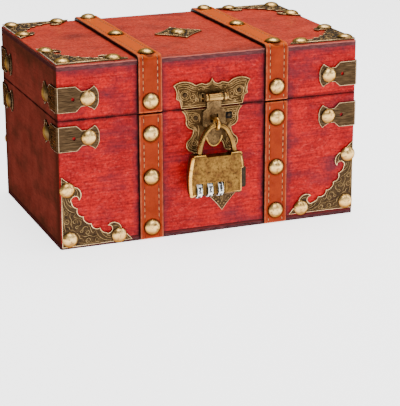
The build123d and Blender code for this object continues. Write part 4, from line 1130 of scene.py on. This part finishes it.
def dial_wheel(node, first_number):
    """A wheel with ten flats between its finger flutes, and a number on each flat."""
    low, high = node_box(node)
    centre, size = (low + high) / 2, high - low
    half, radius = size.x / 2 - DIAL_SIDE_GAP, size.z / 2 - DIAL_ROUND_GAP
    ring = []
    for k in range(FLUTES * FLUTE_STEPS):
        angle = 2 * math.pi * (k + 0.5) / (FLUTES * FLUTE_STEPS)
        ring.append((radius - FLUTE_DEPTH * max(0.0, math.cos(FLUTES * angle)) ** 1.5, angle))
    columns = [(-half, HUB_SHARE), (WHEEL_RIM - half, 1.0), (half - WHEEL_RIM, 1.0), (half, HUB_SHARE)]
    points = [centre + Vector((x, -r * share * math.cos(a), r * share * math.sin(a)))
              for x, share in columns for r, a in ring]
    wheel = shell(node + "_wheel", points, tube_faces(len(columns), len(ring)), wheel_white, smooth=False)
    settle(wheel, node, "dial_white", node)
    work = bmesh.new()
    for k in range(FLUTES):
        text = bpy.data.curves.new("number", "FONT")
        text.body = str((first_number + k) % 10)
        text.size, text.extrude, text.offset = NUMBER_SIZE * MM, NUMBER_RISE * MM, NUMBER_SWELL * MM
        text.align_x, text.align_y = "CENTER", "CENTER"
        mesh = baked(made("number", text))
        turn = (Matrix.Rotation(2 * math.pi * (k + 0.5) / FLUTES, 4, "X")
                @ Matrix.Rotation(math.pi / 2, 4, "X"))
        mesh.transform(Matrix.Translation(centre * MM + turn @ Vector((0, 0, radius * MM))) @ turn)
        work.from_mesh(mesh)
        bpy.data.meshes.remove(mesh)
    bmesh.ops.remove_doubles(work, verts=work.verts, dist=0.001 * MM)
    numbers = bpy.data.meshes.new(node + "_numbers")
    work.to_mesh(numbers)
    work.free()
    numbers.materials.append(ink)
    settle(made(node + "_numbers", numbers), node, "dial_white")


for node, first in (("dial_1", 8), ("dial_2", 8), ("dial_3", 6)):
    dial_wheel(node, first)

# The blackened square eye beside the hasp on the lower plate: (height over the plate, share of its width)
EYE_X, EYE_Z, EYE_HALF = 12.2, SEAM - 6.8, 2.3
eye_steps = [(0.0, 1.0), (0.35, 1.0), (0.42, 0.86), (0.30, 0.80)]
eye_points = [FRONT @ Vector((EYE_X + a * EYE_HALF * s, EYE_Z + b * EYE_HALF * s, LATCH_THICK + rise))
              for rise, s in eye_steps for a, b in ((-1, -1), (1, -1), (1, 1), (-1, 1))]
eye = shell("latch_square_eye", eye_points, tube_faces(len(eye_steps), 4), eye_black, smooth=False)
settle(eye, "base", "antique_bronze")


# Finishes of the CAD nodes that show
def paint(material, *nodes):
    for node in nodes:
        mesh = frame["nodes"][node].data
        mesh.materials.clear()
        mesh.materials.append(material)


for body in BODIES:
    paint(front_wood[body], body + "_front_panel", body + "_back_panel")
    paint(side_wood[body], body + "_left_panel", body + "_right_panel")
    paint(bronze_wrap, "hinge_left_%s_leaf" % body, "hinge_right_%s_leaf" % body)
    paint(bronze_wrap, *["%s_corner_wrap_%s" % (body, tag) for tag in ENDS])
    paint(bronze_ground, *["%s_corner_plate_%s" % (body, tag) for tag in ENDS])
paint(wood_bottom, "base_bottom_board")
paint(wood_top, "lid_top_board")
paint(latch_ground, "latch_upper_plate", "latch_lower_plate")
paint(bronze_wrap, "handle_plate", "front_diamond_plate")
paint(bronze_ground, "hasp_pin", "dial_shaft", "top_diamond_plate")
paint(bronze_rib, "hinge_pins")
paint(hasp_brass, "handle_bail")
paint(lock_brass, "lock_front_shell", "lock_back_shell", "shackle_pivot_pin")
# The staple ring in the lighter plating: a painted highlight
paint(lock_highlight, "staple_ring")
paint(slider_dark, "release_slider")

# Floor, light and camera
floor_material, tree, shader = finish("pale_paper_floor", Roughness=0.5, Base_Color="#FAF9F9",
                                      Emission_Color="#FFFFFF", Emission_Strength=2.5)
roughened(tree, shader, pattern(tree, 4), 0.02)
REACH, FLOOR_DROP = 6000, 0.02
corners = [(a * REACH, b * REACH, -FLOOR_DROP) for a, b in ((-1, -1), (1, -1), (1, 1), (-1, 1))]
floor = shell("floor", corners, [(0, 1, 2, 3)], floor_material)
floor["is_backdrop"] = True

world = bpy.data.worlds.new("studio")
world.use_nodes = True
world.node_tree.nodes["Background"].inputs["Color"].default_value = linear("#FFFFFF")
world.node_tree.nodes["Background"].inputs["Strength"].default_value = 0.28
bpy.context.scene.world = world


def softbox(name, place, target, width, height, power):
    """An area light of a real size, turned to its target; sizes in millimetres, power in watts."""
    light = bpy.data.lights.new(name, "AREA")
    light.shape, light.size, light.size_y, light.energy = "RECTANGLE", width * MM, height * MM, power
    lamp = bpy.data.objects.new(name, light)
    bpy.context.scene.collection.objects.link(lamp)
    place, target = Vector(place) * MM, Vector(target) * MM
    aim = (target - place).to_track_quat("-Z", "Y").to_matrix().to_4x4()
    lamp.matrix_world = Matrix.Translation(place) @ aim
    lamp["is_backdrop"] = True


softbox("key_front", (200, -1300, 1050), (0, 0, 60), 800, 700, 13)
softbox("top_fill", (200, 200, 1300), (0, 0, 100), 900, 900, 17)
softbox("right_strip", (900, -500, 500), (0, 0, 60), 300, 700, 4)

# Camera fitted to the photograph: azimuth and elevation in degrees, distance and target in mm
AZIMUTH, ELEVATION, DISTANCE, ROLL = math.radians(-21.5), math.radians(18.04), 1172.1, math.radians(-0.12)
AIM = Vector((18.96, 0.0, -3.05)) * MM
FOCAL_PIXELS, LONG_SIDE_PIXELS, SENSOR = 1568.0, 406.0, 36.0
camera_data = bpy.data.cameras.new("camera")
camera_data.sensor_width, camera_data.lens = SENSOR, FOCAL_PIXELS / LONG_SIDE_PIXELS * SENSOR
camera_data.clip_start, camera_data.clip_end = 0.01, 50
camera = bpy.data.objects.new("camera", camera_data)
bpy.context.scene.collection.objects.link(camera)
level = math.cos(ELEVATION)
back = Vector((math.sin(AZIMUTH) * level, -math.cos(AZIMUTH) * level, math.sin(ELEVATION)))
turn = (-back).to_track_quat("-Z", "Y").to_matrix().to_4x4() @ Matrix.Rotation(ROLL, 4, "Z")
camera.matrix_world = Matrix.Translation(AIM + back * DISTANCE * MM) @ turn
bpy.context.scene.camera = camera

low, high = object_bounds()
